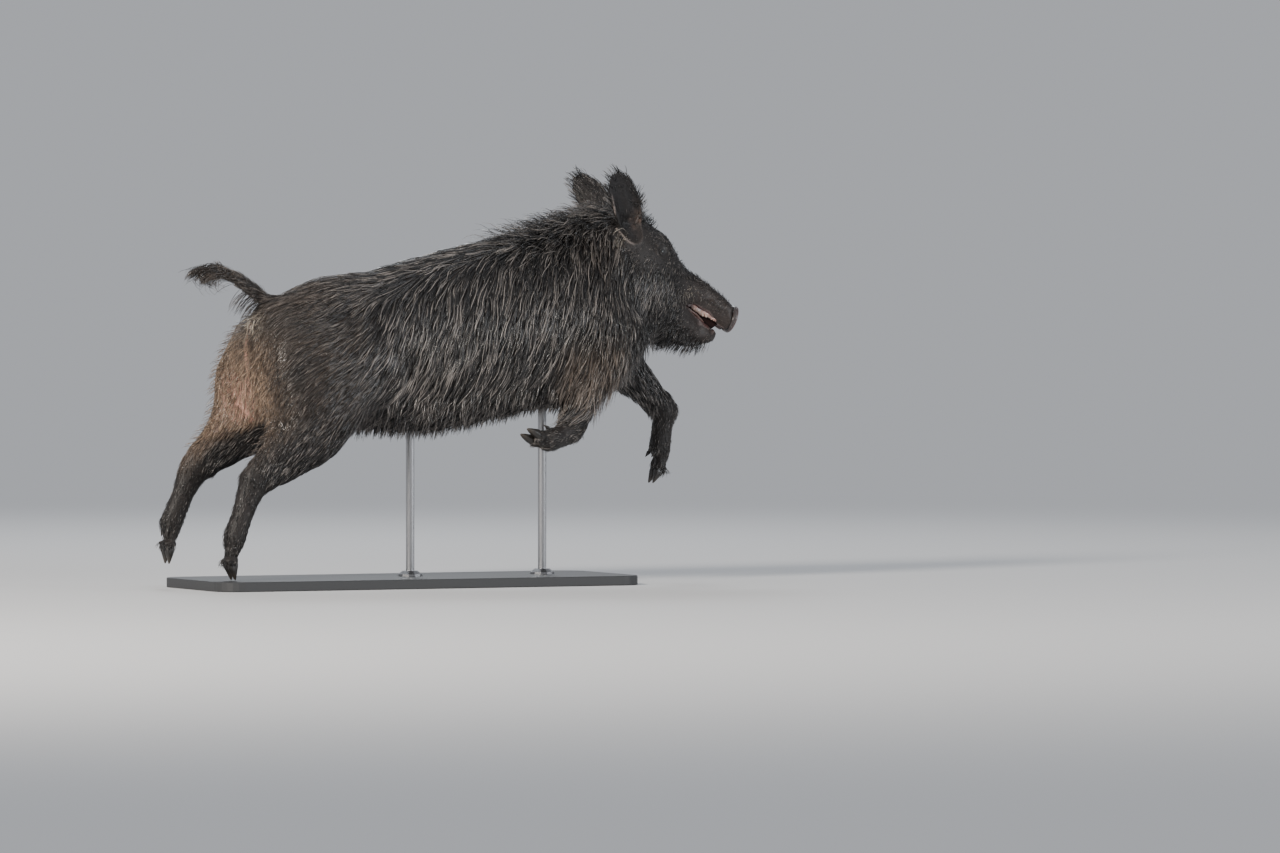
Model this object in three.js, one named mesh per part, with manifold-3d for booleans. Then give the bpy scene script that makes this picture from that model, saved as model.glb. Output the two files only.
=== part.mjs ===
// A wild boar in mid leap, life size, held up by a plain display stand.
// Millimetres, +X towards the snout, +Y to the animal's left, +Z up.
// The body is one smooth field of limbs that flow into each other. It is turned into solids
// and parted into nodes by thin plane cuts.

import * as THREE from "three";
import { mergeVertices } from "three/addons/utils/BufferGeometryUtils.js";
import Module from "manifold-3d";

const wasm = await Module();
wasm.setup();

// ---- Driving dimensions ----

const gap = 0.3; // left between neighbouring solids
const legSpread = 118; // middle of a leg from the body's mid plane
const toeSpread = 13.5; // middle of a toe from the middle of its foot
const toeTurnOut = 1.6; // how many times further out than the fetlock a turned foot's toes lie
const standThickness = 25;
const standLength = 1180;
const standWidth = 440;
const standCentre = -190; // along X
const standCorner = 60;
const standEdge = 2;
const rodRadius = 11;
const rodDepth = 50; // how far a rod reaches into the body
const rodPlaces = { front: [205, 470], rear: [-170, 392] }; // X, and Z of the belly there
const collarRadius = 32;
const collarHeight = 14;
const collarRim = 5; // height of the collar's outer wall
const collarTop = 8; // width of the ring on top of a collar
const eyeRadius = 12.5;
const eyePlace = [512, 866]; // X and Z
const eyeProud = 2; // how far the eyeball stands out of the coat
const earHalfWidth = 47;
const earBase = [436, 62, 896];
const earTip = [360, 120, 1068];
const earCup = [5, 26]; // depth of the ear's hollow at its tip and its base
const earThickness = [4, 11]; // at its tip and its base
const discHalfHeight = 38;
const discHalfWidth = 35;
const discThickness = 15;
const discEdge = 3;
const discCentre = [754, 690];
const discTilt = 20; // degrees that the disc's face looks down
const nostrilSpread = 14;
const nostrilRadius = 7.5;
const nostrilDepth = 11;
const nostrilStretch = [0.8, 1.15]; // across and up
const tonguePlace = [642, 693];
const tongueHalfSize = [42, 17, 8];
const tongueTilt = 36; // degrees
const gumHalfWidth = 25;
const toothPlace = [696, 653]; // X and Z of the middle lower incisors
const toothLength = 22;
const toothRadius = 4.4;
const toothSpacing = 5.2;
const toothTilt = 40; // degrees
const hoofLength = 46;
const hoofHeight = 36;
const hoofWidth = 24;
const dewclawLength = 28;
const dewclawRadius = 8.5;
const dewclawBehind = 24; // from the middle of the fetlock
const dewclawSpread = 19; // from the middle of the foot
const dewclawBelow = 20; // from the fetlock

// Width over which the parts of the body flow into each other.
const trunkBlend = 60;
const limbBlend = 55;
const faceBlend = 30;
const jawBlend = 24;
const footBlend = 16;
const toeBlend = 10;
const ankleBlend = 6;

// Cells of the surfaces: large ones on the smooth trunk, small ones on the head and feet.
const trunkCell = [66, 46, 50];
const neckCell = [36, 30, 36];
const headCell = [24.5, 21.5, 24.5];
const legCell = [36, 31, 36];
const footCell = [21.5, 20, 22.5];

// ---- Materials ----

function matte(color, roughness, metalness = 0) {
  return new THREE.MeshStandardMaterial({ color, roughness, metalness });
}

const materials = {
  coat: matte(0x1d1916, 0.7),
  tailCoat: matte(0x5a4c3e, 0.75),
  rhinarium: matte(0x3a2b2a, 0.45),
  eye: matte(0x140c08, 0.08),
  gum: matte(0xb07d74, 0.35),
  tooth: matte(0xd8cdb6, 0.35),
  horn: matte(0x24201d, 0.4),
  plinth: matte(0x55585a, 0.6),
  steel: matte(0xb4b7ba, 0.3, 1),
};

// ---- Solids from geometry ----

function solidOf(geometry) {
  const bare = geometry.clone();
  bare.deleteAttribute("normal");
  bare.deleteAttribute("uv");
  const merged = mergeVertices(bare, 1e-3);
  return new wasm.Manifold(
    new wasm.Mesh({
      numProp: 3,
      vertProperties: new Float32Array(merged.attributes.position.array),
      triVerts: new Uint32Array(merged.index.array),
    }),
  );
}

function geometryOf(solid) {
  const mesh = solid.getMesh();
  const geometry = new THREE.BufferGeometry();
  geometry.setAttribute("position", new THREE.BufferAttribute(mesh.vertProperties, 3));
  geometry.setIndex(new THREE.BufferAttribute(mesh.triVerts, 1));
  geometry.computeVertexNormals();
  return geometry;
}

// The same solid with each vertex moved outwards, for cutting a clearance.
function grown(solid, distance) {
  const geometry = geometryOf(solid);
  const position = geometry.attributes.position;
  const normal = geometry.attributes.normal;
  for (let i = 0; i < position.count; i += 1) {
    position.setXYZ(
      i,
      position.getX(i) + distance * normal.getX(i),
      position.getY(i) + distance * normal.getY(i),
      position.getZ(i) + distance * normal.getZ(i),
    );
  }
  return solidOf(geometry);
}

// Everything on one side of a plane through a point, as a large box. The normal points into it.
function halfSpace(point, normal, shift = 0, size = 3000) {
  const direction = new THREE.Vector3(...normal).normalize();
  const box = new THREE.BoxGeometry(size, size, size);
  box.applyQuaternion(
    new THREE.Quaternion().setFromUnitVectors(new THREE.Vector3(0, 0, 1), direction),
  );
  const centre = new THREE.Vector3(...point).addScaledVector(direction, size / 2 + shift);
  box.translate(centre.x, centre.y, centre.z);
  return solidOf(box);
}

function boxBetween(low, high) {
  const box = new THREE.BoxGeometry(high[0] - low[0], high[1] - low[1], high[2] - low[2]);
  box.translate((low[0] + high[0]) / 2, (low[1] + high[1]) / 2, (low[2] + high[2]) / 2);
  return solidOf(box);
}

// A shape drawn in the X-Z plane and carried across the body to half a width each side.
function crossSlab(shape, halfWidth) {
  const geometry = new THREE.ExtrudeGeometry(shape, { depth: 2 * halfWidth, bevelEnabled: false });
  geometry.translate(0, 0, -halfWidth);
  geometry.rotateX(Math.PI / 2);
  return solidOf(geometry);
}

// A closed skin over rings of points, each ring with the same number of points.
function loft(rings) {
  const around = rings[0].length;
  const points = rings.flat();
  const faces = [];
  for (let r = 0; r + 1 < rings.length; r += 1) {
    for (let i = 0; i < around; i += 1) {
      const a = r * around + i;
      const b = r * around + ((i + 1) % around);
      faces.push(a, b, b + around, a, b + around, a + around);
    }
  }
  for (const [first, flip] of [[0, true], [(rings.length - 1) * around, false]]) {
    const middle = new THREE.Vector3();
    for (let i = 0; i < around; i += 1) middle.addScaledVector(points[first + i], 1 / around);
    const tip = points.push(middle) - 1;
    for (let i = 0; i < around; i += 1) {
      const a = first + i;
      const b = first + ((i + 1) % around);
      faces.push(...(flip ? [tip, b, a] : [tip, a, b]));
    }
  }
  const geometry = new THREE.BufferGeometry().setFromPoints(points);
  geometry.setIndex(faces);
  return geometry;
}

// ---- Fields ----
// A field is a function of a place, negative inside the shape and about the distance outside.

// A limb follows a smooth curve through its stations. Each station is
// [x, y, z, half width across, half depth, narrowing]: a positive narrowing makes the upper
// side of the section slimmer than the lower one.
function limb(stations, stepsBetween = 5) {
  const route = new THREE.CatmullRomCurve3(
    stations.map(([x, y, z]) => new THREE.Vector3(x, y, z)),
    false,
    "catmullrom",
    0.5,
  );
  const sizes = new THREE.CatmullRomCurve3(
    stations.map(([, , , wide, deep, narrowing = 0]) => new THREE.Vector3(wide, deep, narrowing)),
    false,
    "catmullrom",
    0.5,
  );
  const count = (stations.length - 1) * stepsBetween;
  const pieces = [];
  for (let i = 0; i < count; i += 1) {
    const from = route.getPoint(i / count);
    const along = route.getPoint((i + 1) / count).sub(from);
    const length = along.length();
    along.divideScalar(length);
    const across = new THREE.Vector3(0, 1, 0).addScaledVector(along, -along.y).normalize();
    const upward = new THREE.Vector3().crossVectors(along, across);
    pieces.push({
      from,
      along,
      across,
      upward,
      length,
      sizeFrom: sizes.getPoint(i / count),
      sizeTo: sizes.getPoint((i + 1) / count),
    });
  }
  return (x, y, z) => {
    let nearest = Infinity;
    for (const piece of pieces) {
      const dx = x - piece.from.x;
      const dy = y - piece.from.y;
      const dz = z - piece.from.z;
      const { along, across, upward, sizeFrom, sizeTo } = piece;
      const travel = dx * along.x + dy * along.y + dz * along.z;
      const t = Math.min(Math.max(travel / piece.length, 0), 1);
      const end = travel - t * piece.length;
      const side = dx * across.x + dy * across.y + dz * across.z;
      const rise = dx * upward.x + dy * upward.y + dz * upward.z;
      const deep = sizeFrom.y + (sizeTo.y - sizeFrom.y) * t;
      const narrowing = sizeFrom.z + (sizeTo.z - sizeFrom.z) * t;
      const lean = Math.min(Math.max(rise / deep, -1), 1);
      const wide = (sizeFrom.x + (sizeTo.x - sizeFrom.x) * t) * (1 - narrowing * lean);
      const cap = Math.min(wide, deep);
      const reach = Math.hypot(side / wide, rise / deep, end / cap);
      const away = Math.hypot(side, rise, end);
      const value = reach > 1e-6 ? away * (1 - 1 / reach) : -cap;
      nearest = Math.min(nearest, value);
    }
    return nearest;
  };
}

// Fields that flow into each other over the given width.
function blended(width, ...fields) {
  return (x, y, z) => {
    let value = fields[0](x, y, z);
    for (let i = 1; i < fields.length; i += 1) {
      const other = fields[i](x, y, z);
      const closeness = Math.max(width - Math.abs(value - other), 0) / width;
      value = Math.min(value, other) - (closeness * closeness * width) / 4;
    }
    return value;
  };
}

// The field's surface as a closed solid: one vertex for each cell that the surface crosses, moved
// on to the surface, and a pair of triangles across each crossed edge.
function surfaceOf(field, low, high, cell) {
  const counts = [0, 1, 2].map((a) => Math.ceil((high[a] - low[a]) / cell[a]) + 1);
  const [nx, ny, nz] = counts;
  const strides = [1, nx, nx * ny];
  const place = (i, a) => low[a] + i * cell[a];
  const values = new Float64Array(nx * ny * nz);
  for (let k = 0; k < nz; k += 1) {
    for (let j = 0; j < ny; j += 1) {
      for (let i = 0; i < nx; i += 1) {
        const onRim = i * j * k === 0 || i === nx - 1 || j === ny - 1 || k === nz - 1;
        const value = field(place(i, 0), place(j, 1), place(k, 2));
        values[i + nx * j + nx * ny * k] = onRim ? Math.max(value, cell[0] / 2) : value;
      }
    }
  }
  const vertexOfCell = new Map();
  const points = [];
  for (let k = 0; k + 1 < nz; k += 1) {
    for (let j = 0; j + 1 < ny; j += 1) {
      for (let i = 0; i + 1 < nx; i += 1) {
        const point = crossingMiddle(values, strides, [i, j, k]);
        if (!point) continue;
        point.set(
          low[0] + (i + point.x) * cell[0],
          low[1] + (j + point.y) * cell[1],
          low[2] + (k + point.z) * cell[2],
        );
        moveToSurface(field, point, Math.min(...cell));
        vertexOfCell.set(i + nx * j + nx * ny * k, points.push(point) - 1);
      }
    }
  }
  const faces = [];
  for (let k = 0; k + 1 < nz; k += 1) {
    for (let j = 0; j + 1 < ny; j += 1) {
      for (let i = 0; i + 1 < nx; i += 1) {
        const here = i + nx * j + nx * ny * k;
        for (let a = 0; a < 3; a += 1) {
          const inside = values[here] < 0;
          if (inside === values[here + strides[a]] < 0) continue;
          const b = strides[(a + 1) % 3];
          const c = strides[(a + 2) % 3];
          const ring = [here, here - b, here - b - c, here - c].map((id) => vertexOfCell.get(id));
          if (!inside) ring.reverse();
          pushQuad(faces, points, ring);
        }
      }
    }
  }
  const geometry = new THREE.BufferGeometry().setFromPoints(points);
  geometry.setIndex(faces);
  return solidOf(geometry);
}

// The mean of the places where the surface crosses a cell's edges, in cell units, or nothing.
function crossingMiddle(values, strides, [i, j, k]) {
  const first = i * strides[0] + j * strides[1] + k * strides[2];
  const sum = new THREE.Vector3();
  let found = 0;
  for (let a = 0; a < 3; a += 1) {
    const b = (a + 1) % 3;
    const c = (a + 2) % 3;
    for (const [p, q] of [[0, 0], [1, 0], [0, 1], [1, 1]]) {
      const start = first + p * strides[b] + q * strides[c];
      const from = values[start];
      const to = values[start + strides[a]];
      if (from < 0 === to < 0) continue;
      const crossing = new THREE.Vector3();
      crossing.setComponent(a, from / (from - to));
      crossing.setComponent(b, p);
      crossing.setComponent(c, q);
      sum.add(crossing);
      found += 1;
    }
  }
  return found ? sum.divideScalar(found) : null;
}

function moveToSurface(field, point, reach) {
  const start = point.clone();
  const step = 0.5;
  for (let pass = 0; pass < 4; pass += 1) {
    const { x, y, z } = point;
    const value = field(x, y, z);
    if (Math.abs(value) > reach) break;
    const slope = new THREE.Vector3(
      field(x + step, y, z) - field(x - step, y, z),
      field(x, y + step, z) - field(x, y - step, z),
      field(x, y, z + step) - field(x, y, z - step),
    ).divideScalar(2 * step);
    point.addScaledVector(slope, -value / Math.max(slope.lengthSq(), 0.1));
  }
  if (point.distanceTo(start) > reach / 2) point.copy(start);
}

function pushQuad(faces, points, [a, b, c, d]) {
  const shorter = points[a].distanceTo(points[c]) < points[b].distanceTo(points[d]);
  if (shorter) faces.push(a, b, c, a, c, d);
  else faces.push(a, b, d, b, c, d);
}

// ---- The boar's shape ----

const right = -1;
const left = 1;

const trunkField = limb([
  [-560, 0, 660, 70, 82, 0.1],
  [-500, 0, 636, 112, 138, 0.08],
  [-410, 0, 612, 142, 198, 0.04],
  [-290, 0, 608, 152, 208, 0.02],
  [-150, 0, 618, 162, 232, 0.04],
  [0, 0, 650, 164, 238, 0.1],
  [140, 0, 678, 158, 232, 0.2],
  [260, 0, 700, 146, 222, 0.25],
  [350, 0, 704, 118, 186, 0.2],
]);

// The flesh under the tail and between the thighs.
const rumpField = limb([
  [-510, 0, 640, 100, 92],
  [-540, 0, 560, 92, 86],
  [-548, 0, 480, 74, 70],
]);

const neckField = limb([
  [200, 0, 728, 134, 198, 0.25],
  [310, 0, 776, 122, 200, 0.22],
  [400, 0, 802, 106, 184, 0.12],
  [470, 0, 812, 96, 160, 0.05],
]);

const skullField = limb([
  [392, 0, 880, 82, 102, 0.1],
  [448, 0, 858, 90, 104, 0.12],
  [508, 0, 816, 88, 102, 0.14],
  [560, 0, 790, 66, 80, 0.12],
  [608, 0, 775, 48, 56, 0.1],
  [650, 0, 758, 38, 40, 0.05],
  [696, 0, 730, 34, 35],
  [738, 0, 696, 32, 33],
]);

const jawField = limb([
  [452, 0, 752, 88, 112],
  [510, 0, 730, 82, 104],
  [560, 0, 694, 62, 78],
  [604, 0, 668, 44, 54],
  [640, 0, 655, 34, 40],
  [672, 0, 648, 27, 25],
  [694, 0, 645, 20, 15],
]);

// Each leg lies in a plane of its own. The upper part runs from the trunk to the carpus or hock and
// the lower part from there to the fetlock, as [X, Z, half width, half depth].
const legs = {
  front_right: {
    side: right,
    upper: [[345, 672, 62, 128], [300, 556, 50, 74], [262, 474, 42, 48], [232, 402, 33, 38]],
    lower: [[232, 402, 33, 38], [198, 386, 28, 31], [164, 378, 30, 31]],
    turnOut: 26, // how far the fetlock lies outside the carpus
    tip: [80, 402],
    aim: [-0.93, -0.33, 0.14],
    dorsal: [-0.1, -0.6, -0.8],
    trunkCut: { point: [300, 0, 470], normal: [0.21, 0, -0.978] },
    footCut: { point: [242, 0, 426], normal: [-0.39, 0, -0.92] },
    room: [[40, -260, 300], [340, -62, 520]],
  },
  front_left: {
    side: left,
    upper: [[388, 692, 60, 126], [468, 580, 52, 78], [548, 510, 42, 52], [614, 444, 34, 40]],
    lower: [[614, 444, 34, 40], [606, 396, 28, 30], [600, 350, 30, 31]],
    turnOut: 0,
    tip: [572, 256],
    aim: [-0.14, 0, -0.99],
    dorsal: [0.99, 0, -0.14],
    trunkCut: { point: [450, 0, 600], normal: [0.7, 0, -0.71] },
    footCut: { point: [590, 0, 466], normal: [0.72, 0, -0.69] },
    room: [[360, 62, 200], [760, 260, 680]],
  },
  hind_right: {
    side: right,
    upper: [
      [-446, 610, 50, 150],
      [-468, 520, 62, 150],
      [-498, 416, 58, 108],
      [-580, 338, 46, 68],
      [-654, 278, 32, 43],
    ],
    lower: [[-654, 278, 32, 43], [-682, 206, 27, 31], [-708, 136, 30, 32]],
    turnOut: 0,
    tip: [-712, standThickness + 1],
    aim: [0.5, 0, -0.866],
    dorsal: [0.866, 0, 0.5],
    trunkCut: { point: [-300, 0, 400], normal: [-0.47, 0, -0.882] },
    footCut: { point: [-628, 0, 298], normal: [-0.77, 0, -0.64] },
    room: [[-900, -260, 0], [-280, -gap / 2, 640]],
  },
  hind_left: {
    side: left,
    upper: [
      [-472, 616, 50, 150],
      [-532, 530, 62, 146],
      [-578, 436, 58, 102],
      [-658, 364, 46, 66],
      [-726, 306, 32, 43],
    ],
    lower: [[-726, 306, 32, 43], [-758, 238, 27, 31], [-788, 170, 30, 32]],
    turnOut: 0,
    tip: [-800, 62],
    aim: [0.3, 0, -0.954],
    dorsal: [0.954, 0, 0.3],
    trunkCut: { point: [-300, 0, 400], normal: [-0.47, 0, -0.882] },
    footCut: { point: [-698, 0, 330], normal: [-0.76, 0, -0.65] },
    room: [[-900, gap / 2, 0], [-280, 260, 640]],
  },
};

// The hoof's own axes: x along the sole to its tip, z up to the leg, y across.
function hoofAxes(leg, toeSide) {
  const aim = new THREE.Vector3(...leg.aim).normalize();
  const dorsal = new THREE.Vector3(...leg.dorsal);
  const across = new THREE.Vector3().crossVectors(dorsal, aim).normalize();
  dorsal.crossVectors(aim, across);
  const middle = leg.side * (legSpread + leg.turnOut * toeTurnOut);
  const origin = new THREE.Vector3(leg.tip[0], middle, leg.tip[1])
    .addScaledVector(aim, -hoofLength)
    .addScaledVector(across, toeSide * toeSpread);
  return new THREE.Matrix4().makeBasis(aim, across, dorsal).setPosition(origin);
}

function legFields(leg) {
  const out = leg.side * legSpread;
  const upper = limb(leg.upper.map(([x, z, ...size]) => [x, out, z, ...size]));
  const last = leg.lower.length - 1;
  const swing = leg.side * leg.turnOut;
  const lower = limb(leg.lower.map(([x, z, ...size], i) => [x, out + (swing * i) / last, z, ...size]));
  const [x, z] = leg.lower[last];
  const toes = [right, left].map((toeSide) => {
    const axes = hoofAxes(leg, toeSide);
    const coronet = new THREE.Vector3(-0.17 * hoofLength, 0, 0.72 * hoofHeight).applyMatrix4(axes);
    const inHoof = new THREE.Vector3(0.02 * hoofLength, 0, 0.55 * hoofHeight).applyMatrix4(axes);
    return limb([
      [x, out + swing, z, 20, 22],
      [...coronet.toArray(), 13, 17],
      [...inHoof.toArray(), 8, 10],
    ], 3);
  });
  return { upper, foot: blended(toeBlend, blended(footBlend, lower, toes[0]), toes[1]) };
}

const fields = Object.fromEntries(
  Object.entries(legs).map(([name, leg]) => [name, legFields(leg)]),
);
const coreField = blended(trunkBlend, blended(trunkBlend, trunkField, rumpField), neckField);
const headField = blended(faceBlend, blended(jawBlend, skullField, jawField), coreField);
const bodyField = blended(limbBlend, coreField, ...Object.values(fields).map(({ upper }) => upper));

// ---- Trunk, neck and tail ----

const neckCut = { point: [200, 0, 965], normal: [0.7725, 0, 0.635] };
const headCut = { point: [375, 0, 1010], normal: [0.9687, 0, 0.248] };

// One side of a cut, up to its plane or moved along the normal by a shift.
function beyond({ point, normal }, shift = 0) {
  return halfSpace(point, normal, shift);
}

const rodTop = (name) => rodPlaces[name][1] + rodDepth;

function rod(name, clearance = 0) {
  const height = rodTop(name) + clearance - standThickness - gap;
  const cylinder = new THREE.CylinderGeometry(rodRadius + clearance, rodRadius + clearance, height, 12);
  cylinder.rotateX(Math.PI / 2);
  cylinder.translate(rodPlaces[name][0], 0, standThickness + gap + height / 2);
  return solidOf(cylinder);
}

function bothThighs() {
  const [low] = legs.hind_right.room;
  const [, high] = legs.hind_left.room;
  return boxBetween(low, high).intersect(beyond(legs.hind_right.trunkCut));
}

const wholeTrunk = surfaceOf(bodyField, [-800, -250, 330], [660, 250, 1020], trunkCell);

function makeTrunk() {
  let trunk = wholeTrunk.subtract(beyond(neckCut, -gap)).subtract(bothThighs());
  for (const leg of [legs.front_right, legs.front_left]) {
    trunk = trunk.subtract(boxBetween(...leg.room).intersect(beyond(leg.trunkCut)));
  }
  for (const name of Object.keys(rodPlaces)) trunk = trunk.subtract(rod(name, gap));
  return trunk;
}

const wholeNeck = surfaceOf(headField, [60, -220, 420], [560, 220, 1080], neckCell);

function makeNeck() {
  return wholeNeck.intersect(beyond(neckCut)).subtract(beyond(headCut, -gap));
}

// The tail is carried up and back, and ends in a flat tassel.
const tailStations = [
  [-528, 708, 20, 22],
  [-562, 735, 19, 21],
  [-602, 764, 18, 19],
  [-645, 793, 17, 18],
  [-690, 812, 16, 17],
  [-734, 818, 15, 17],
  [-764, 817, 14, 19],
  [-788, 811, 9, 15],
  [-806, 804, 3, 5],
];

function makeTail() {
  const route = new THREE.CatmullRomCurve3(tailStations.map(([x, z]) => new THREE.Vector3(x, 0, z)));
  const around = 8;
  const last = tailStations.length - 1;
  const rings = tailStations.map(([x, z, wide, deep], i) => {
    const along = route.getTangent(i / last);
    return Array.from({ length: around }, (_, j) => {
      const turn = (2 * Math.PI * j) / around;
      const rise = deep * Math.sin(turn);
      return new THREE.Vector3(x - along.z * rise, wide * Math.cos(turn), z + along.x * rise);
    });
  });
  return solidOf(loft(rings)).subtract(grown(wholeTrunk, gap));
}

// ---- Legs and feet ----

// Slanted sections from the coronet to the toe: where the section meets the sole and the front
// wall, as parts of the hoof's length, and its height and width as parts of the hoof's.
const hoofSections = [
  [-0.34, 0.04, 1, 1],
  [0, 0.32, 0.74, 1.02],
  [0.36, 0.57, 0.5, 0.9],
  [0.7, 0.8, 0.27, 0.62],
  [0.96, 1, 0.06, 0.2],
];

function makeHoof(axes) {
  const around = 6;
  const rings = hoofSections.map(([sole, wall, height, width]) =>
    Array.from({ length: around }, (_, i) => {
      const turn = (2 * Math.PI * (i + 0.5)) / around;
      const up = Math.max(0.5 + 0.56 * Math.sin(turn), 0);
      return new THREE.Vector3(
        hoofLength * (sole + (wall - sole) * up),
        hoofWidth * 0.5 * width * Math.cos(turn),
        hoofHeight * height * up,
      );
    }),
  );
  return solidOf(loft(rings).applyMatrix4(axes));
}

function makeDewclaw(leg, clawSide, clearance = 0) {
  const aim = new THREE.Vector3(...leg.aim).normalize();
  const dorsal = new THREE.Vector3(...leg.dorsal);
  const across = new THREE.Vector3().crossVectors(dorsal, aim).normalize();
  dorsal.crossVectors(aim, across);
  const [x, z] = leg.lower[leg.lower.length - 1];
  const cone = new THREE.ConeGeometry(dewclawRadius + clearance, dewclawLength + 2 * clearance, 8);
  const along = aim.clone().multiplyScalar(0.85).addScaledVector(dorsal, -0.5).normalize();
  cone.applyQuaternion(new THREE.Quaternion().setFromUnitVectors(new THREE.Vector3(0, 1, 0), along));
  const place = new THREE.Vector3(x, leg.side * (legSpread + leg.turnOut), z)
    .addScaledVector(dorsal, -dewclawBehind)
    .addScaledVector(across, clawSide * dewclawSpread)
    .addScaledVector(aim, dewclawBelow);
  cone.translate(place.x, place.y, place.z);
  return solidOf(cone);
}

function makeLegs() {
  const made = {};
  const rim = 40; // of each leg's grid, outside its room
  for (const [name, leg] of Object.entries(legs)) {
    const { upper, foot } = fields[name];
    const room = boxBetween(...leg.room);
    const low = leg.room[0].map((v) => v - rim);
    const high = leg.room[1].map((v) => v + rim);
    made[`leg_${name}`] = surfaceOf(blended(limbBlend, coreField, upper), low, high, legCell)
      .intersect(room)
      .intersect(beyond(leg.trunkCut, gap))
      .subtract(beyond(leg.footCut, -gap));
    let footSolid = surfaceOf(blended(ankleBlend, upper, foot), low, high, footCell)
      .intersect(beyond(leg.footCut));
    for (const toeSide of [right, left]) {
      const end = toeSide * leg.side > 0 ? "outer" : "inner";
      const hoof = makeHoof(hoofAxes(leg, toeSide));
      const dewclaw = makeDewclaw(leg, toeSide);
      footSolid = footSolid.subtract(grown(hoof, gap)).subtract(makeDewclaw(leg, toeSide, gap));
      made[`hoof_${name}_${end}`] = hoof;
      made[`dewclaw_${name}_${end}`] = dewclaw;
    }
    made[`foot_${name}`] = footSolid;
  }
  return made;
}

// ---- Head ----

// The open mouth from the side: the upper lip's edge from the corner to the front, and the
// lower lip's edge back to the corner.
const mouthCorner = [592, 727];
const upperLip = [mouthCorner, [636, 731], [672, 712], [696, 684], [716, 673], [732, 658]];
const lowerLip = [[718, 638], [697, 657], [672, 671], [654, 683], [635, 694], [616, 707]];
const mouthFront = [[740, 644], [732, 624]];
const beyondHead = 150; // half width of a cut that passes right through the head

function shapeThrough(points) {
  return new THREE.Shape(points.map(([x, z]) => new THREE.Vector2(x, z)));
}

function mouthSlab(inset, halfWidth) {
  const above = upperLip.map(([x, z]) => [x, z - inset]);
  const below = lowerLip.map(([x, z]) => [x, z + inset]);
  return crossSlab(shapeThrough([...above, ...mouthFront, ...below]), halfWidth);
}

// Everything below the mouth and in front of the jaw's angle.
function jawRegion(shift) {
  const seam = [[650, 708], [697, 666], [722, 640]];
  const outline = [[524, 560], [556, 694], mouthCorner, ...seam, [728, 560]];
  return crossSlab(shapeThrough(outline.map(([x, z]) => [x + shift, z - shift])), beyondHead);
}

const wholeHead = surfaceOf(headField, [330, -130, 560], [800, 130, 1040], headCell);

// How far out of the mid plane the head's surface lies at an X and Z.
function headHalfWidth(x, z) {
  let inside = 0;
  let outside = 200;
  for (let pass = 0; pass < 20; pass += 1) {
    const middle = (inside + outside) / 2;
    if (headField(x, middle, z) < 0) inside = middle;
    else outside = middle;
  }
  return inside;
}

function makeEye(side, clearance = 0) {
  const [x, z] = eyePlace;
  const ball = new THREE.SphereGeometry(eyeRadius + clearance, 10, 6);
  ball.translate(x, side * (headHalfWidth(x, z) + eyeProud - eyeRadius), z);
  return solidOf(ball);
}

const discAxes = new THREE.Matrix4()
  .makeRotationY(THREE.MathUtils.degToRad(discTilt))
  .setPosition(discCentre[0], 0, discCentre[1]);

// The snout's disc, with its face towards +X before it is tilted.
function makeDisc() {
  const face = new THREE.Shape();
  face.absellipse(0, 0, discHalfWidth, discHalfHeight, 0, 2 * Math.PI);
  const disc = new THREE.ExtrudeGeometry(face, {
    depth: discThickness - 2 * discEdge,
    bevelSize: discEdge,
    bevelThickness: discEdge,
    bevelOffset: -discEdge,
    bevelSegments: 1,
    curveSegments: 7,
  });
  disc.translate(0, 0, discEdge - discThickness);
  disc.rotateZ(Math.PI / 2);
  disc.rotateY(Math.PI / 2);
  return solidOf(disc.applyMatrix4(discAxes));
}

function makeNostril(side) {
  const nostril = new THREE.SphereGeometry(nostrilRadius, 8, 6);
  nostril.scale((0.8 * nostrilDepth) / nostrilRadius, ...nostrilStretch);
  nostril.translate(1, side * nostrilSpread, 2);
  return solidOf(nostril.applyMatrix4(discAxes));
}

// An ear is a cupped leaf. Its section is a crescent whose hollow faces out to the side.
function makeEar(side) {
  const base = new THREE.Vector3(earBase[0], side * earBase[1], earBase[2]);
  const tip = new THREE.Vector3(earTip[0], side * earTip[1], earTip[2]);
  const up = tip.clone().sub(base);
  const length = up.length();
  up.normalize();
  const hollow = new THREE.Vector3(0.04, side, 0.1).addScaledVector(up, -side * up.y).normalize();
  hollow.addScaledVector(up, -hollow.dot(up)).normalize();
  const forward = new THREE.Vector3().crossVectors(hollow, up).multiplyScalar(side).normalize();
  const ringCount = 8;
  const halfCount = 5;
  const rings = [];
  for (let r = 0; r < ringCount; r += 1) {
    const s = r / (ringCount - 1);
    const wide = earHalfWidth * (0.62 + 1.1 * s - 0.35 * s * s) * Math.sqrt(Math.max(1 - s ** 5, 0.06));
    const cup = (earCup[1] - earCup[0]) * (1 - s) ** 0.8 + earCup[0];
    const thick = (earThickness[1] - earThickness[0]) * (1 - s) + earThickness[0];
    const rise = (s * 1.14 - 0.14) * length;
    const bend = 10 * Math.sin(Math.PI * s);
    const ring = [];
    for (const face of [0, 1]) {
      for (let i = 0; i < halfCount; i += 1) {
        const across = (face ? 1 : -1) * (1 - (2 * (i + 0.5)) / halfCount);
        const depth = cup * (across * across - 0.5) - (face ? 0 : thick * (1 - 0.45 * across * across));
        ring.push(
          base
            .clone()
            .addScaledVector(up, rise)
            .addScaledVector(forward, across * wide + bend)
            .addScaledVector(hollow, depth),
        );
      }
    }
    rings.push(side > 0 ? ring : ring.reverse());
  }
  return solidOf(loft(rings)).subtract(grown(wholeHead, gap)).subtract(grown(wholeNeck, gap));
}

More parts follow.
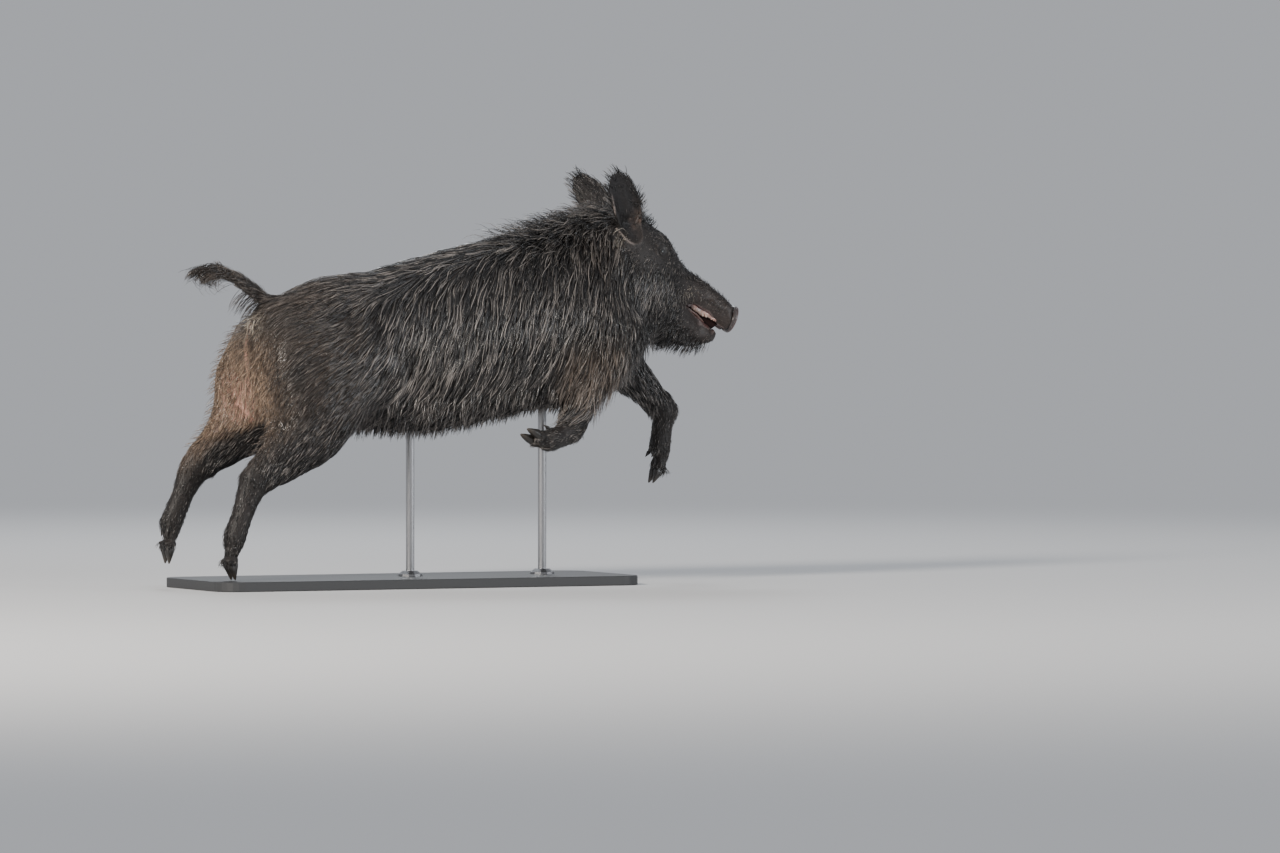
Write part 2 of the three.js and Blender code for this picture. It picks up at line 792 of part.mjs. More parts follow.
// Gum and teeth under the upper lip, seen in the open mouth.
function makeUpperGum() {
  const band = [
    ...upperLip.slice(0, 5).map(([x, z]) => [x + 6, z - 2]),
    [708, 660],
    [694, 666],
    [684, 676],
    [672, 692],
    [656, 706],
    [638, 717],
    [616, 721],
  ];
  return crossSlab(shapeThrough(band), gumHalfWidth).intersect(mouthSlab(gap, beyondHead));
}

function makeTongue(gum) {
  const tongue = new THREE.SphereGeometry(1, 10, 6);
  tongue.scale(...tongueHalfSize);
  tongue.rotateY(THREE.MathUtils.degToRad(tongueTilt));
  tongue.translate(tonguePlace[0], 0, tonguePlace[1]);
  return solidOf(tongue).intersect(mouthSlab(gap, beyondHead)).subtract(grown(gum, gap));
}

function makeLowerTeeth(clearance = 0) {
  const teeth = [];
  const archDepth = 0.9; // how far the row curves back, for each squared place
  for (const place of [-1.5, -0.5, 0.5, 1.5]) {
    const tooth = new THREE.ConeGeometry(toothRadius + clearance, toothLength + 4 * clearance, 5);
    tooth.rotateX(Math.PI / 2);
    tooth.rotateY(THREE.MathUtils.degToRad(toothTilt));
    tooth.translate(toothPlace[0] - place * place * archDepth, place * toothSpacing, toothPlace[1]);
    teeth.push(solidOf(tooth));
  }
  return teeth.reduce((all, tooth) => all.add(tooth));
}

function makeHead() {
  const faceNormal = new THREE.Vector3(1, 0, 0).transformDirection(discAxes).toArray();
  const face = { point: [discCentre[0], 0, discCentre[1]], normal: faceNormal };
  const pastHead = beyond(face, -discThickness - gap);
  const opened = wholeHead
    .intersect(beyond(headCut))
    .intersect(beyond(neckCut))
    .subtract(mouthSlab(0, beyondHead))
    .subtract(pastHead)
    .subtract(makeEye(left, gap))
    .subtract(makeEye(right, gap));
  const gum = makeUpperGum();
  return {
    head: opened.subtract(jawRegion(0)),
    lower_jaw: opened.intersect(jawRegion(gap)).subtract(makeLowerTeeth(gap)),
    snout_disc: makeDisc().subtract(makeNostril(left)).subtract(makeNostril(right)),
    ear_left: makeEar(left),
    ear_right: makeEar(right),
    eye_left: makeEye(left),
    eye_right: makeEye(right),
    upper_gum: gum,
    tongue: makeTongue(gum),
    lower_teeth: makeLowerTeeth(),
  };
}

// ---- Display stand ----

function makeStandBase() {
  const outline = new THREE.Shape();
  const x = standLength / 2 - standCorner;
  const y = standWidth / 2 - standCorner;
  outline.absarc(x, -y, standCorner, -Math.PI / 2, 0);
  outline.absarc(x, y, standCorner, 0, Math.PI / 2);
  outline.absarc(-x, y, standCorner, Math.PI / 2, Math.PI);
  outline.absarc(-x, -y, standCorner, Math.PI, 1.5 * Math.PI);
  const base = new THREE.ExtrudeGeometry(outline, {
    depth: standThickness - 2 * standEdge,
    bevelSize: standEdge,
    bevelThickness: standEdge,
    bevelOffset: -standEdge,
    bevelSegments: 1,
    curveSegments: 3,
  });
  base.translate(standCentre, 0, standEdge);
  return solidOf(base);
}

function makeCollar(name) {
  const inner = rodRadius + gap;
  const profile = [
    [inner, 0],
    [collarRadius, 0],
    [collarRadius, collarRim],
    [inner + collarTop, collarHeight],
    [inner, collarHeight],
    [inner, 0],
  ].map(([r, h]) => new THREE.Vector2(r, h));
  const collar = new THREE.LatheGeometry(profile, 12);
  collar.rotateX(Math.PI / 2);
  collar.translate(rodPlaces[name][0], 0, standThickness + gap);
  return solidOf(collar);
}

// ---- The finished group ----

const solids = {
  trunk: makeTrunk(),
  neck: makeNeck(),
  ...makeHead(),
  tail: makeTail(),
  ...makeLegs(),
  stand_base: makeStandBase(),
  stand_rod_front: rod("front"),
  stand_rod_rear: rod("rear"),
  stand_collar_front: makeCollar("front"),
  stand_collar_rear: makeCollar("rear"),
};

function materialFor(name) {
  if (name.startsWith("hoof") || name.startsWith("dewclaw")) return materials.horn;
  if (name.startsWith("eye")) return materials.eye;
  if (name === "upper_gum" || name === "tongue") return materials.gum;
  if (name === "lower_teeth") return materials.tooth;
  if (name === "snout_disc") return materials.rhinarium;
  if (name === "tail") return materials.tailCoat;
  if (name === "stand_base") return materials.plinth;
  if (name.startsWith("stand")) return materials.steel;
  return materials.coat;
}

const group = new THREE.Group();
for (const [name, solid] of Object.entries(solids)) {
  const mesh = new THREE.Mesh(geometryOf(solid), materialFor(name));
  mesh.name = name;
  group.add(mesh);
}

// The origin is the middle of the model's footprint, on the floor.
const extent = new THREE.Box3().setFromObject(group);
const middle = extent.getCenter(new THREE.Vector3());
group.position.set(-middle.x, -middle.y, -extent.min.z);

export default group;
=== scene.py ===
import math

import bpy
import bmesh
import numpy as np
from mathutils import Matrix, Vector


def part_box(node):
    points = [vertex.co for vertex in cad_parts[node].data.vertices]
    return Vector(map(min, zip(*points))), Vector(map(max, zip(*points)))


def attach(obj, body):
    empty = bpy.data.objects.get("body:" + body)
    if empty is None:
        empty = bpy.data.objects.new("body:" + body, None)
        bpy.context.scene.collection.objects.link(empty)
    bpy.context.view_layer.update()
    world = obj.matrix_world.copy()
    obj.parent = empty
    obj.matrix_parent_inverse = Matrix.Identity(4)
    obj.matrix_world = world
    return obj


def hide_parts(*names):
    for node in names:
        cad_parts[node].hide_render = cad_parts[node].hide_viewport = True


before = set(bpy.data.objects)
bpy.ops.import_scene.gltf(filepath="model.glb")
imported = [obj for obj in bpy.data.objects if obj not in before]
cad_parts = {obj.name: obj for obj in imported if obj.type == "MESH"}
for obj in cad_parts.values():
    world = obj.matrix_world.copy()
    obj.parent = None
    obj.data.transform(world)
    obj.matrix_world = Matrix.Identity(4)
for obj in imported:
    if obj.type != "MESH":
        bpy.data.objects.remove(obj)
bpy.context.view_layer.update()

# A wild boar in mid leap on its display stand: one skin over the solid body, and a wet bristly
# coat of closed spikes that lie along it. Lengths are in metres.

dice = np.random.default_rng(41)

fleshNodes = ["trunk", "neck", "head", "lower_jaw", "ear_left", "ear_right", "tail"]
legNames = ["front_left", "front_right", "hind_left", "hind_right"]
for legName in legNames:
    fleshNodes += ["leg_" + legName, "foot_" + legName]


# Small helpers for arrays of vectors.

def unit(v):
    return v / np.maximum(np.linalg.norm(v, axis=-1, keepdims=True), 1e-9)


def dot(a, b):
    return np.sum(a * b, axis=-1, keepdims=True)


def ramp(value, start, end):
    # 0 before start, 1 after end, smooth between; start may be the larger one
    t = np.clip((value - start) / (end - start), 0, 1)
    return t * t * (3 - 2 * t)


def bump(value, middle, width):
    # 1 at the middle, falling off as a bell of the given width
    return np.exp(-(((value - middle) / width) ** 2))


waveWays = unit(dice.normal(size=(3, 6, 3)))
waveStarts = dice.random((3, 6)) * 2 * math.pi


def sway(places, wavelength, channel=0):
    # a smooth value of about -1 to 1 in space: the mean of six sine waves in set directions
    turns = places @ (waveWays[channel].T * 2 * math.pi / wavelength) + waveStarts[channel]
    return np.sin(turns).mean(axis=-1) * 1.9


def mix(first, second, share):
    # from the first towards the second by each row's share
    first = np.asarray(first)
    return first + share[..., None] * (np.asarray(second) - first)


def vertexValues(mesh, kind):
    values = np.empty(len(mesh.vertices) * 3)
    mesh.vertices.foreach_get(kind, values)
    return values.reshape(-1, 3)


def meshPoints(mesh):
    return vertexValues(mesh, "co")


def meshNormals(mesh):
    return vertexValues(mesh, "normal")


def nodePoints(name):
    return meshPoints(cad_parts[name].data)


def nodeMiddle(*names):
    return np.mean([np.array(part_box(name)[0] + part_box(name)[1]) / 2 for name in names], axis=0)


def boxOf(name):
    return [np.array(corner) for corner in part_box(name)]


def faceCorners(faces):
    corners = np.empty(len(faces) * 3, dtype=np.int32)
    faces.foreach_get("vertices", corners)
    return corners.reshape(-1, 3)


def setPoints(mesh, points):
    mesh.vertices.foreach_set("co", points.astype(np.float32).ravel())
    mesh.update()


def newObject(name, data):
    made = bpy.data.objects.new(name, data)
    bpy.context.scene.collection.objects.link(made)
    return made


def meshFromArrays(name, points, faces):
    # faces is an array with one row of corner numbers for each face, all of one length
    mesh = bpy.data.meshes.new(name)
    count, corners = faces.shape
    mesh.vertices.add(len(points))
    mesh.vertices.foreach_set("co", points.astype(np.float32).ravel())
    mesh.loops.add(count * corners)
    mesh.loops.foreach_set("vertex_index", faces.astype(np.int32).ravel())
    mesh.polygons.add(count)
    mesh.polygons.foreach_set("loop_start", np.arange(0, count * corners, corners, dtype=np.int32))
    mesh.update(calc_edges=True)
    mesh.shade_smooth()
    return mesh


def mergedCopy(name, swell=0.0):
    # a node's mesh with its loose triangles joined, moved out along its normals
    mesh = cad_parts[name].data.copy()
    mesh.materials.clear()
    work = bmesh.new()
    work.from_mesh(mesh)
    bmesh.ops.remove_doubles(work, verts=work.verts, dist=2e-5)
    work.to_mesh(mesh)
    work.free()
    if swell:
        setPoints(mesh, meshPoints(mesh) + swell * meshNormals(mesh))
    return mesh


def joinedMesh(name, meshes):
    # one mesh of several; each face keeps the number of its mesh as "part"
    points, faces, label = [], [], []
    first = 0
    for i, mesh in enumerate(meshes):
        points.append(meshPoints(mesh))
        faces.append(faceCorners(mesh.polygons) + first)
        label.append(np.full(len(mesh.polygons), i))
        first += len(mesh.vertices)
    joined = meshFromArrays(name, np.concatenate(points), np.concatenate(faces))
    store = joined.attributes.new("part", "INT", "FACE")
    store.data.foreach_set("value", np.concatenate(label).astype(np.int32))
    return joined


def applyModifiers(piece):
    shape = bpy.data.meshes.new_from_object(piece.evaluated_get(bpy.context.evaluated_depsgraph_get()))
    piece.modifiers.clear()
    old = piece.data
    piece.data = shape
    bpy.data.meshes.remove(old)


def feed(tree, node, inputs):
    # each input gets a value, or is linked to the output that is given for it
    for socket, value in inputs.items():
        if isinstance(value, bpy.types.NodeSocket):
            tree.links.new(value, node.inputs[socket])
        else:
            node.inputs[socket].default_value = value


def put(tree, kind, inputs, **settings):
    # a new node: its settings first, as they can change its sockets, then its inputs
    made = tree.nodes.new(kind)
    for name, value in settings.items():
        setattr(made, name, value)
    feed(tree, made, inputs)
    return made


def newGroup(name, kind, takes, gives):
    # a node group with named inputs and outputs: the tree, what comes in and the node that gives it out
    tree = bpy.data.node_groups.new(name, kind)
    for sockets, way in ((takes, "INPUT"), (gives, "OUTPUT")):
        for label, socket in sockets.items():
            tree.interface.new_socket(label, in_out=way, socket_type="NodeSocket" + socket)
    return tree, tree.nodes.new("NodeGroupInput").outputs, tree.nodes.new("NodeGroupOutput")


# Landmarks, all read from the frame

eyeMiddle = {side: nodeMiddle("eye_" + side) for side in ("left", "right")}
eyeRadius = (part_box("eye_right")[1].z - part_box("eye_right")[0].z) / 2
discMiddle = nodeMiddle("snout_disc")
gumLow, gumHigh = boxOf("upper_gum")
jawHigh = boxOf("lower_jaw")[1]
headLow = boxOf("head")[0]
neckLow, neckHigh = boxOf("neck")
trunkLow, trunkHigh = boxOf("trunk")
tailLow, tailHigh = boxOf("tail")
mouthCorner = np.array([gumLow[0] - 0.018, 0, gumHigh[2] + 0.004])


# The skin

skinPlan = {
    "swell": 0.0008,  # closes the thin cuts between the solids
    "formCell": 0.012,  # coarse grid that smooths the flats of the solids away
    "formPasses": 26,
    "cell": 0.0029,
    "keep": 170000,  # triangles
    "keepFace": 3.0,  # how much longer the face keeps its small cells
    "sleeve": 0.34,  # share of each hoof that the skin covers
    "sleeveSwell": 0.0030,
    "evenPasses": 14,
    "sleevePasses": 9,
}


def plugFor(name):
    # fills the blind hole that a rod of the stand sits in
    mesh = mergedCopy(name, 0.002)
    points = meshPoints(mesh)
    points[:, 2] = np.maximum(points[:, 2], points[:, 2].max() - 0.056)
    setPoints(mesh, points)
    return mesh


def hornAxis(spots, footName):
    # the long axis of a hoof's points, turned so that it leads away from the foot
    centred = spots - spots.mean(0)
    axis = np.linalg.svd(centred, full_matrices=False)[2][0]
    return axis * np.sign(axis @ (spots.mean(0) - nodePoints(footName).mean(0)))


def sleeveFor(name, footName):
    # a hoof's top end, a little swollen: its points past a share of its length are brought back
    mesh = mergedCopy(name, skinPlan["sleeveSwell"])
    spots = meshPoints(mesh)
    axis = hornAxis(spots, footName)
    way = spots @ axis
    limit = way.min() + skinPlan["sleeve"] * np.ptp(way)
    setPoints(mesh, spots + axis * (np.minimum(way, limit) - way)[:, None])
    return mesh


def remeshed(name, source, cell):
    made = newObject(name, source.copy())
    remesh = made.modifiers.new("remesh", "REMESH")
    remesh.mode = "VOXEL"
    remesh.voxel_size = cell
    return made


def averager(mesh):
    # the function that gives each vertex the mean of its neighbours, for any columns of values
    pairs = np.empty(len(mesh.edges) * 2, dtype=np.int64)
    mesh.edges.foreach_get("vertices", pairs)
    a, b = pairs.reshape(-1, 2).T
    count = len(mesh.vertices)
    order = np.argsort(np.concatenate([a, b]), kind="stable")
    others = np.concatenate([b, a])[order]
    degree = np.bincount(np.concatenate([a, b]), minlength=count)
    starts = np.concatenate([[0], np.cumsum(degree)[:-1]])

    def average(values):
        return np.add.reduceat(values[others], starts, axis=0) / degree[:, None]

    return average


def smoothed(average, values, passes, share=0.5):
    for _ in range(passes):
        values = values + share * (average(values) - values)
    return values


def evened(average, values, passes):
    # smoothing that keeps the size: each step in is followed by a slightly longer step out
    for _ in range(passes):
        values = values + 0.5 * (average(values) - values)
        values = values - 0.52 * (average(values) - values)
    return values


fleshMeshes = [mergedCopy(name, skinPlan["swell"]) for name in fleshNodes]
extraMeshes = [mergedCopy("eye_left"), mergedCopy("eye_right")]
extraMeshes += [plugFor("stand_rod_front"), plugFor("stand_rod_rear")]
firstSleeve = len(fleshMeshes) + len(extraMeshes)
hornNames = [(kind + legName + end, "foot_" + legName)
             for legName in legNames for end in ("_outer", "_inner") for kind in ("hoof_", "dewclaw_")]
sleeveParts = [fleshNodes.index(footName) for _, footName in hornNames]
extraMeshes += [sleeveFor(hornName, footName) for hornName, footName in hornNames]
flesh = joinedMesh("flesh", fleshMeshes + extraMeshes)

form = remeshed("form", flesh, skinPlan["formCell"])
formSmooth = form.modifiers.new("smooth", "SMOOTH")
formSmooth.iterations = skinPlan["formPasses"]
form.modifiers.new("round", "SUBSURF").levels = 1
applyModifiers(form)
print("form", len(form.data.vertices))

skin = remeshed("skin", flesh, skinPlan["cell"])
applyModifiers(skin)
print("skin grid", len(skin.data.vertices))

points = meshPoints(skin.data)
bodyShare = ramp(points[:, 0] - headLow[0], 0.13, -0.02)
bodyShare *= ramp(points[:, 2], 0.30, 0.42)
tailArea = ramp(points[:, 2] - tailLow[2], -0.03, 0.01)
tailArea *= ramp(points[:, 0] - tailHigh[0], 0, -0.04)
bodyShare *= 1 - tailArea
earArea = ramp(points[:, 2] - neckHigh[2], -0.12, -0.06) * ramp(points[:, 0], 0.28, 0.34)
bodyShare *= 1 - earArea
for name in ["foot_" + legName for legName in legNames] + [hornName for hornName, _ in hornNames]:
    low, high = boxOf(name)
    outside = np.linalg.norm(np.maximum(np.maximum(low - points, points - high), 0), axis=1)
    bodyShare *= ramp(outside, 0.004, 0.030)


def vertexGroup(piece, name, weights):
    # weights rounded to steps, so that each step is one call
    group = piece.vertex_groups.new(name=name)
    stepCount = 20
    steps = np.round(weights * stepCount).astype(int)
    for step in range(1, stepCount + 1):
        group.add(np.flatnonzero(steps == step).tolist(), step / stepCount, "REPLACE")


vertexGroup(skin, "body", bodyShare)
faceShare = ramp(points[:, 0] - headLow[0], 0.05, 0.10) * ramp(points[:, 2], 0.60, 0.615)
vertexGroup(skin, "plain", 1 - 0.95 * faceShare - 0.35 * earArea * (1 - faceShare))
wrap = skin.modifiers.new("wrap", "SHRINKWRAP")
wrap.target = form
wrap.wrap_method = "NEAREST_SURFACEPOINT"
wrap.vertex_group = "body"
soften = skin.modifiers.new("soften", "SMOOTH")
soften.iterations = 4
thin = skin.modifiers.new("thin", "DECIMATE")
thin.ratio = min(1.0, skinPlan["keep"] / (2 * len(skin.data.polygons)))
thin.vertex_group = "plain"
thin.vertex_group_factor = skinPlan["keepFace"]
applyModifiers(skin)
bpy.data.objects.remove(form)
setPoints(skin.data, evened(averager(skin.data), meshPoints(skin.data), skinPlan["evenPasses"]))


def refineRound(mesh, middle, radius):
    # cuts each cell near a point in four, and turns the cells to triangles
    work = bmesh.new()
    work.from_mesh(mesh)
    near = [edge for edge in work.edges if (edge.verts[0].co - middle).length < radius]
    bmesh.ops.subdivide_edges(work, edges=near, cuts=1, use_grid_fill=True, smooth=0)
    bmesh.ops.triangulate(work, faces=[face for face in work.faces if len(face.verts) > 4])
    work.to_mesh(mesh)
    work.free()


for middle in eyeMiddle.values():
    refineRound(skin.data, Vector(middle), 0.027)
    refineRound(skin.data, Vector(middle), 0.019)
print("skin", len(skin.data.vertices), len(skin.data.polygons))


def readSurface(piece, source, kind):
    # for each vertex: the distance to the nearest face of another mesh ("gap"), or that face's "part"
    shape = {"Geometry": "Geometry"}
    tree, takes, end = newGroup("readSurface", "GeometryNodeTree", shape, shape)
    surface = put(tree, "GeometryNodeObjectInfo", {"Object": source}).outputs["Geometry"]
    if kind == "gap":
        settings, valueType = {}, np.float32
        found = put(tree, "GeometryNodeProximity", {0: surface}).outputs["Distance"]
    else:
        settings, valueType = {"data_type": "INT"}, np.int32
        number = put(tree, "GeometryNodeInputNamedAttribute", {"Name": "part"}, **settings)
        number = [s for s in number.outputs if s.enabled and s.name == "Attribute"][0]
        inputs = {"Mesh": surface, "Value": number}
        found = put(tree, "GeometryNodeSampleNearestSurface", inputs, **settings).outputs["Value"]
    inputs = {"Geometry": takes[0], "Name": kind, "Value": found}
    store = put(tree, "GeometryNodeStoreNamedAttribute", inputs, domain="POINT", **settings)
    feed(tree, end, {0: store.outputs["Geometry"]})
    piece.modifiers.new(kind, "NODES").node_group = tree
    applyModifiers(piece)
    bpy.data.node_groups.remove(tree)
    layer = piece.data.attributes[kind]
    values = np.empty(len(piece.data.vertices), dtype=valueType)
    layer.data.foreach_get("value", values)
    piece.data.attributes.remove(layer)
    return values


fleshObject = newObject("fleshParts", flesh)
part = readSurface(skin, fleshObject, "part")
bpy.data.objects.remove(fleshObject)
gumGap = readSurface(skin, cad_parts["upper_gum"], "gap").astype(float)
isSleeve = part >= firstSleeve
part = np.where(isSleeve, np.array(sleeveParts)[np.maximum(part - firstSleeve, 0)], part)
mesh = skin.data
mesh.shade_smooth()
average = averager(mesh)
points = meshPoints(mesh)
rounded = smoothed(average, points, skinPlan["sleevePasses"])
nearSleeve = smoothed(average, isSleeve[:, None].astype(float), 4)
points = points + np.clip(nearSleeve * 1.5, 0, 1) * (rounded - points)
setPoints(mesh, points)
normals = meshNormals(mesh)
partOf = {name: i for i, name in enumerate(fleshNodes)}


def inParts(*names):
    return np.isin(part, [partOf[name] for name in names]).astype(float)


# Lie of the coat: the way that the hair of each part runs, before it is smoothed over the joins

def along(name, axis, towards):
    # unit vector from one end of a node to the other, read from its own points
    spots = nodePoints(name)
    order = np.argsort(spots[:, axis] * towards)
    share = max(len(order) // 5, 4)
    return unit(spots[order[-share:]].mean(0) - spots[order[:share]].mean(0))


earAxis = {side: along("ear_" + side, 2, 1) for side in ("left", "right")}
tailAxis = along("tail", 0, -1)
partFlow = {
    "trunk": np.array([-0.30, 0, -0.95]),
    "neck": np.array([-0.20, 0, -0.98]),
    "head": np.array([-0.80, 0, -0.45]),
    "lower_jaw": np.array([-0.70, 0, -0.70]),
    "ear_left": earAxis["left"],
    "ear_right": earAxis["right"],
    "tail": tailAxis,
}
for legName in legNames:
    foot, leg = "foot_" + legName, "leg_" + legName
    toes = nodeMiddle(*("hoof_" + legName + end for end in ("_outer", "_inner")))
    partFlow[leg] = unit(nodeMiddle(foot) - nodeMiddle(leg))
    partFlow[foot] = unit(toes - nodeMiddle(foot))

flowTable = [partFlow[name] for name in fleshNodes]
flowTable += [[-0.8, 0, -0.5]] * 2  # round the eyes
flowTable += [[-0.3, 0, -0.95]] * 2  # over the rods' holes
flow = np.array(flowTable)[part]
x, y, z = points.T
onBody = inParts("trunk", "neck") + (part >= len(fleshNodes) + 2)
onTop = ramp(normals[:, 2], 0.45, 0.9) * onBody
rumpStart, rumpEnd = trunkLow[0] + 0.42, trunkLow[0] + 0.24
onRump = ramp(x, rumpStart, rumpEnd)


def lean(share, direction):
    # the lie of the coat turned towards a direction by a share
    return mix(flow, direction, share)


flow = lean(onBody * ramp(z - trunkHigh[2], -0.28, -0.42), [-0.36, 0, -0.93])
flow = lean(onBody * onRump, [-0.88, 0, -0.42])
flow = lean(onTop, [-0.98, 0, -0.15])
flow = lean(inParts("leg_hind_left", "leg_hind_right") * ramp(z, 0.36, 0.5), [-0.62, 0, -0.78])
flow = lean(ramp(-normals[:, 0], 0.55, 0.9) * ramp(x - trunkLow[0], 0.2, 0.1), [0, 0, -1])
eyeX, _, eyeZ = eyeMiddle["right"]
onCheek = inParts("head", "lower_jaw") * ramp(z - eyeZ, 0.01, -0.05)
onCheek *= ramp(x - mouthCorner[0], 0.01, -0.05)
flow = lean(onCheek, [-0.45, 0, -0.89])
flow = smoothed(average, flow, 60)
flow = unit(flow - normals * dot(flow, normals))


# Coat measures on each vertex: how deep the coat is, how long, thick and dense its hairs are

earPlace = {}
for side, sign in (("left", 1), ("right", -1)):
    up = earAxis[side]
    hollow = np.array([0.04, sign, 0.1])
    hollow = unit(hollow - up * dot(hollow, up))
    forward = unit(np.cross(hollow, up) * sign)
    spots = nodePoints("ear_" + side)
    middle = (spots.max(0) + spots.min(0)) / 2
    low, high = ((spots - middle) @ up).min(), ((spots - middle) @ up).max()
    half = np.ptp((spots - middle) @ forward) / 2
    earPlace[side] = (middle, up, hollow, forward, low, high - low, half)


def inEar(spots, ups, side):
    # shares of the way to the tip and of the way forward, and how far it faces the hollow
    middle, up, hollow, forward, low, tall, half = earPlace[side]
    away = spots - middle
    return (away @ up - low) / tall, (away @ forward) / half, ups @ hollow


def bothEars(spots, ups):
    left, right = inEar(spots, ups, "left"), inEar(spots, ups, "right")
    return [np.where(spots[:, 1] > 0, a, b) for a, b in zip(left, right)]


earUp, earAhead, earFaces = bothEars(points, normals)


def sideOf(*names):
    # these parts, away from the middle of the animal, where the ears are
    return inParts(*names) * ramp(np.abs(points[:, 1]), 0.035, 0.055)


nearEar = ramp(np.hypot((earUp + 0.06) / 0.30, earAhead / 1.15), 1.25, 0.85) * sideOf("head", "neck")
coatTable = {  # depth, length, width in millimetres, then hairs for each square centimetre
    "trunk": (9, 84, 2.4, 2.15),
    "neck": (10, 78, 2.4, 2.3),
    "head": (3.0, 17, 1.4, 9.5),
    "lower_jaw": (3.2, 18, 1.5, 9.5),
    "ear": (0.5, 12, 1.0, 9.5),
    "tail": (6.5, 24, 1.2, 12),
    "leg": (5, 32, 2.1, 3.7),
    "foot": (2.2, 19, 1.5, 6.1),
    "eye": (2.6, 8, 1.0, 0),
    "stand": (12, 70, 2.5, 2.3),
}
kinds = [name.split("_")[0] if name.split("_")[0] in coatTable else name for name in fleshNodes]
kinds += ["eye", "eye", "stand", "stand"]
measures = np.array([coatTable[kind] for kind in kinds])[part]
measures[:, :3] /= 1000
measures[:, 3] *= 1e4
depth, length, width, density = measures.T.copy()
depth[isSleeve] = 0.0003

bellySide = ramp(-normals[:, 2], 0.35, 0.85) * onBody * ramp(x - trunkLow[0], 0.20, 0.34)
throat = ramp(-normals[:, 2], 0.1, 0.7) * ramp(x - headLow[0], -0.02, 0.05)
throat *= ramp(x - jawHigh[0], -0.03, -0.08) * ramp(z, 0.72, 0.66)
mane = ramp(z - neckHigh[2], -0.17, -0.05) * ramp(normals[:, 2], 0.2, 0.8)
mane *= ramp(x, 0.08, 0.2) * ramp(x - headLow[0], 0.1, 0.03) * inParts("trunk", "neck", "head")
rear = ramp(-normals[:, 0], 0.2, 0.7) * ramp(x - trunkLow[0], 0.25, 0.12)
backLine = onTop * (1 - mane)
face = inParts("head", "lower_jaw")
snout = ramp(x - mouthCorner[0], -0.03, 0.06)
cheek = ramp(x - mouthCorner[0], 0.01, -0.06)
cheek *= ramp(z - eyeZ, -0.03, -0.09) * face
eyeGap = np.min([np.linalg.norm(points - middle, axis=1) for middle in eyeMiddle.values()], axis=0)
inMouth = ramp(normals[:, 2], 0.25, 0.60) * inParts("lower_jaw")
inMouth *= ramp(x - mouthCorner[0], -0.012, 0.006)
inMouth = np.maximum(inMouth, ramp(gumGap, 0.0085, 0.0040) * inParts("head"))
lips = smoothed(average, inMouth[:, None], 20)[:, 0]
discGap = np.linalg.norm(points - discMiddle, axis=1)
changes = [  # where, then the depth, length, width in metres and density for each square metre there
    (backLine, 0.0055, 0.056, None, None),
    (onBody * onRump * (1 - bellySide), 0.005, 0.050, 0.0022, 3.1e4),
    (bellySide, 0.024, 0.052, None, None),
    (throat, 0.015, 0.036, 0.0019, 4.5e4),
    (mane, 0.022, 0.074, None, None),
    (rear, 0.0035, 0.026, 0.0016, 4.6e4),
    (snout * face, 0.0018, 0.0105, 0.0011, 11e4),
    (cheek, 0.007, 0.050, 0.0017, 4.4e4),
    (ramp(eyeGap, 0.034, 0.020), 0.0012, 0.006, 0.0009, 9e4),
    (ramp(eyeGap, 0.0185, 0.0145), 0.0008, 0.004, 0.0009, 0),
    (inMouth, 0.0010, 0.004, 0.0009, None),
    (ramp(lips, 0.003, 0.06), None, 0.004, None, 0),
    (nearEar, 0.0022, 0.009, 0.0011, 9e4),
    (ramp(discGap, 0.046, 0.040), 0.0003, 0.005, 0.0009, 3e4),
]
for where, *targets in changes:
    for values, target in zip((depth, length, width, density), targets):
        if target is not None:
            values += where * (target - values)
measures = smoothed(average, np.stack([depth, length, width], axis=1), 20)
depth, length, width = measures.T
depth = np.minimum(depth, np.where(isSleeve, 0.0006, 1))
density = smoothed(average, density[:, None], 3)[:, 0]
print("coat measures")

skinPoints = points - normals * depth[:, None]
skinPoints = smoothed(average, skinPoints, 3)
tailSpots = nodePoints("tail")
tailSpots = tailSpots[np.argsort(tailSpots[:, 0])]
tailBins = np.array([spots.mean(0) for spots in np.array_split(tailSpots, 16)])
tailCut = tailLow[0] + 0.125
drawnShare, tipThinning = 0.36, 0.55


def tailMiddle(ways):
    return np.stack([np.interp(ways, tailBins[:, 0], tailBins[:, i]) for i in range(3)], axis=1)


# past the cut the fleshy tail is drawn in to a third of its length and narrows to a blunt tip
onTail = inParts("tail") > 0
drawnIn = np.where(x < tailCut, tailCut + drawnShare * (x - tailCut), x)
kept = (1 - tipThinning * ramp(x, tailCut, tailLow[0] + 0.02))[:, None]
shorter = tailMiddle(drawnIn) + kept * (skinPoints - tailMiddle(x))
skinPoints = np.where((onTail & (x < tailCut))[:, None], shorter, skinPoints)
setPoints(mesh, skinPoints)
points = meshPoints(mesh)
normals = meshNormals(mesh)


# Folds of the skin: lids round the eyes, lips, wrinkles over the snout, hollows in the ears

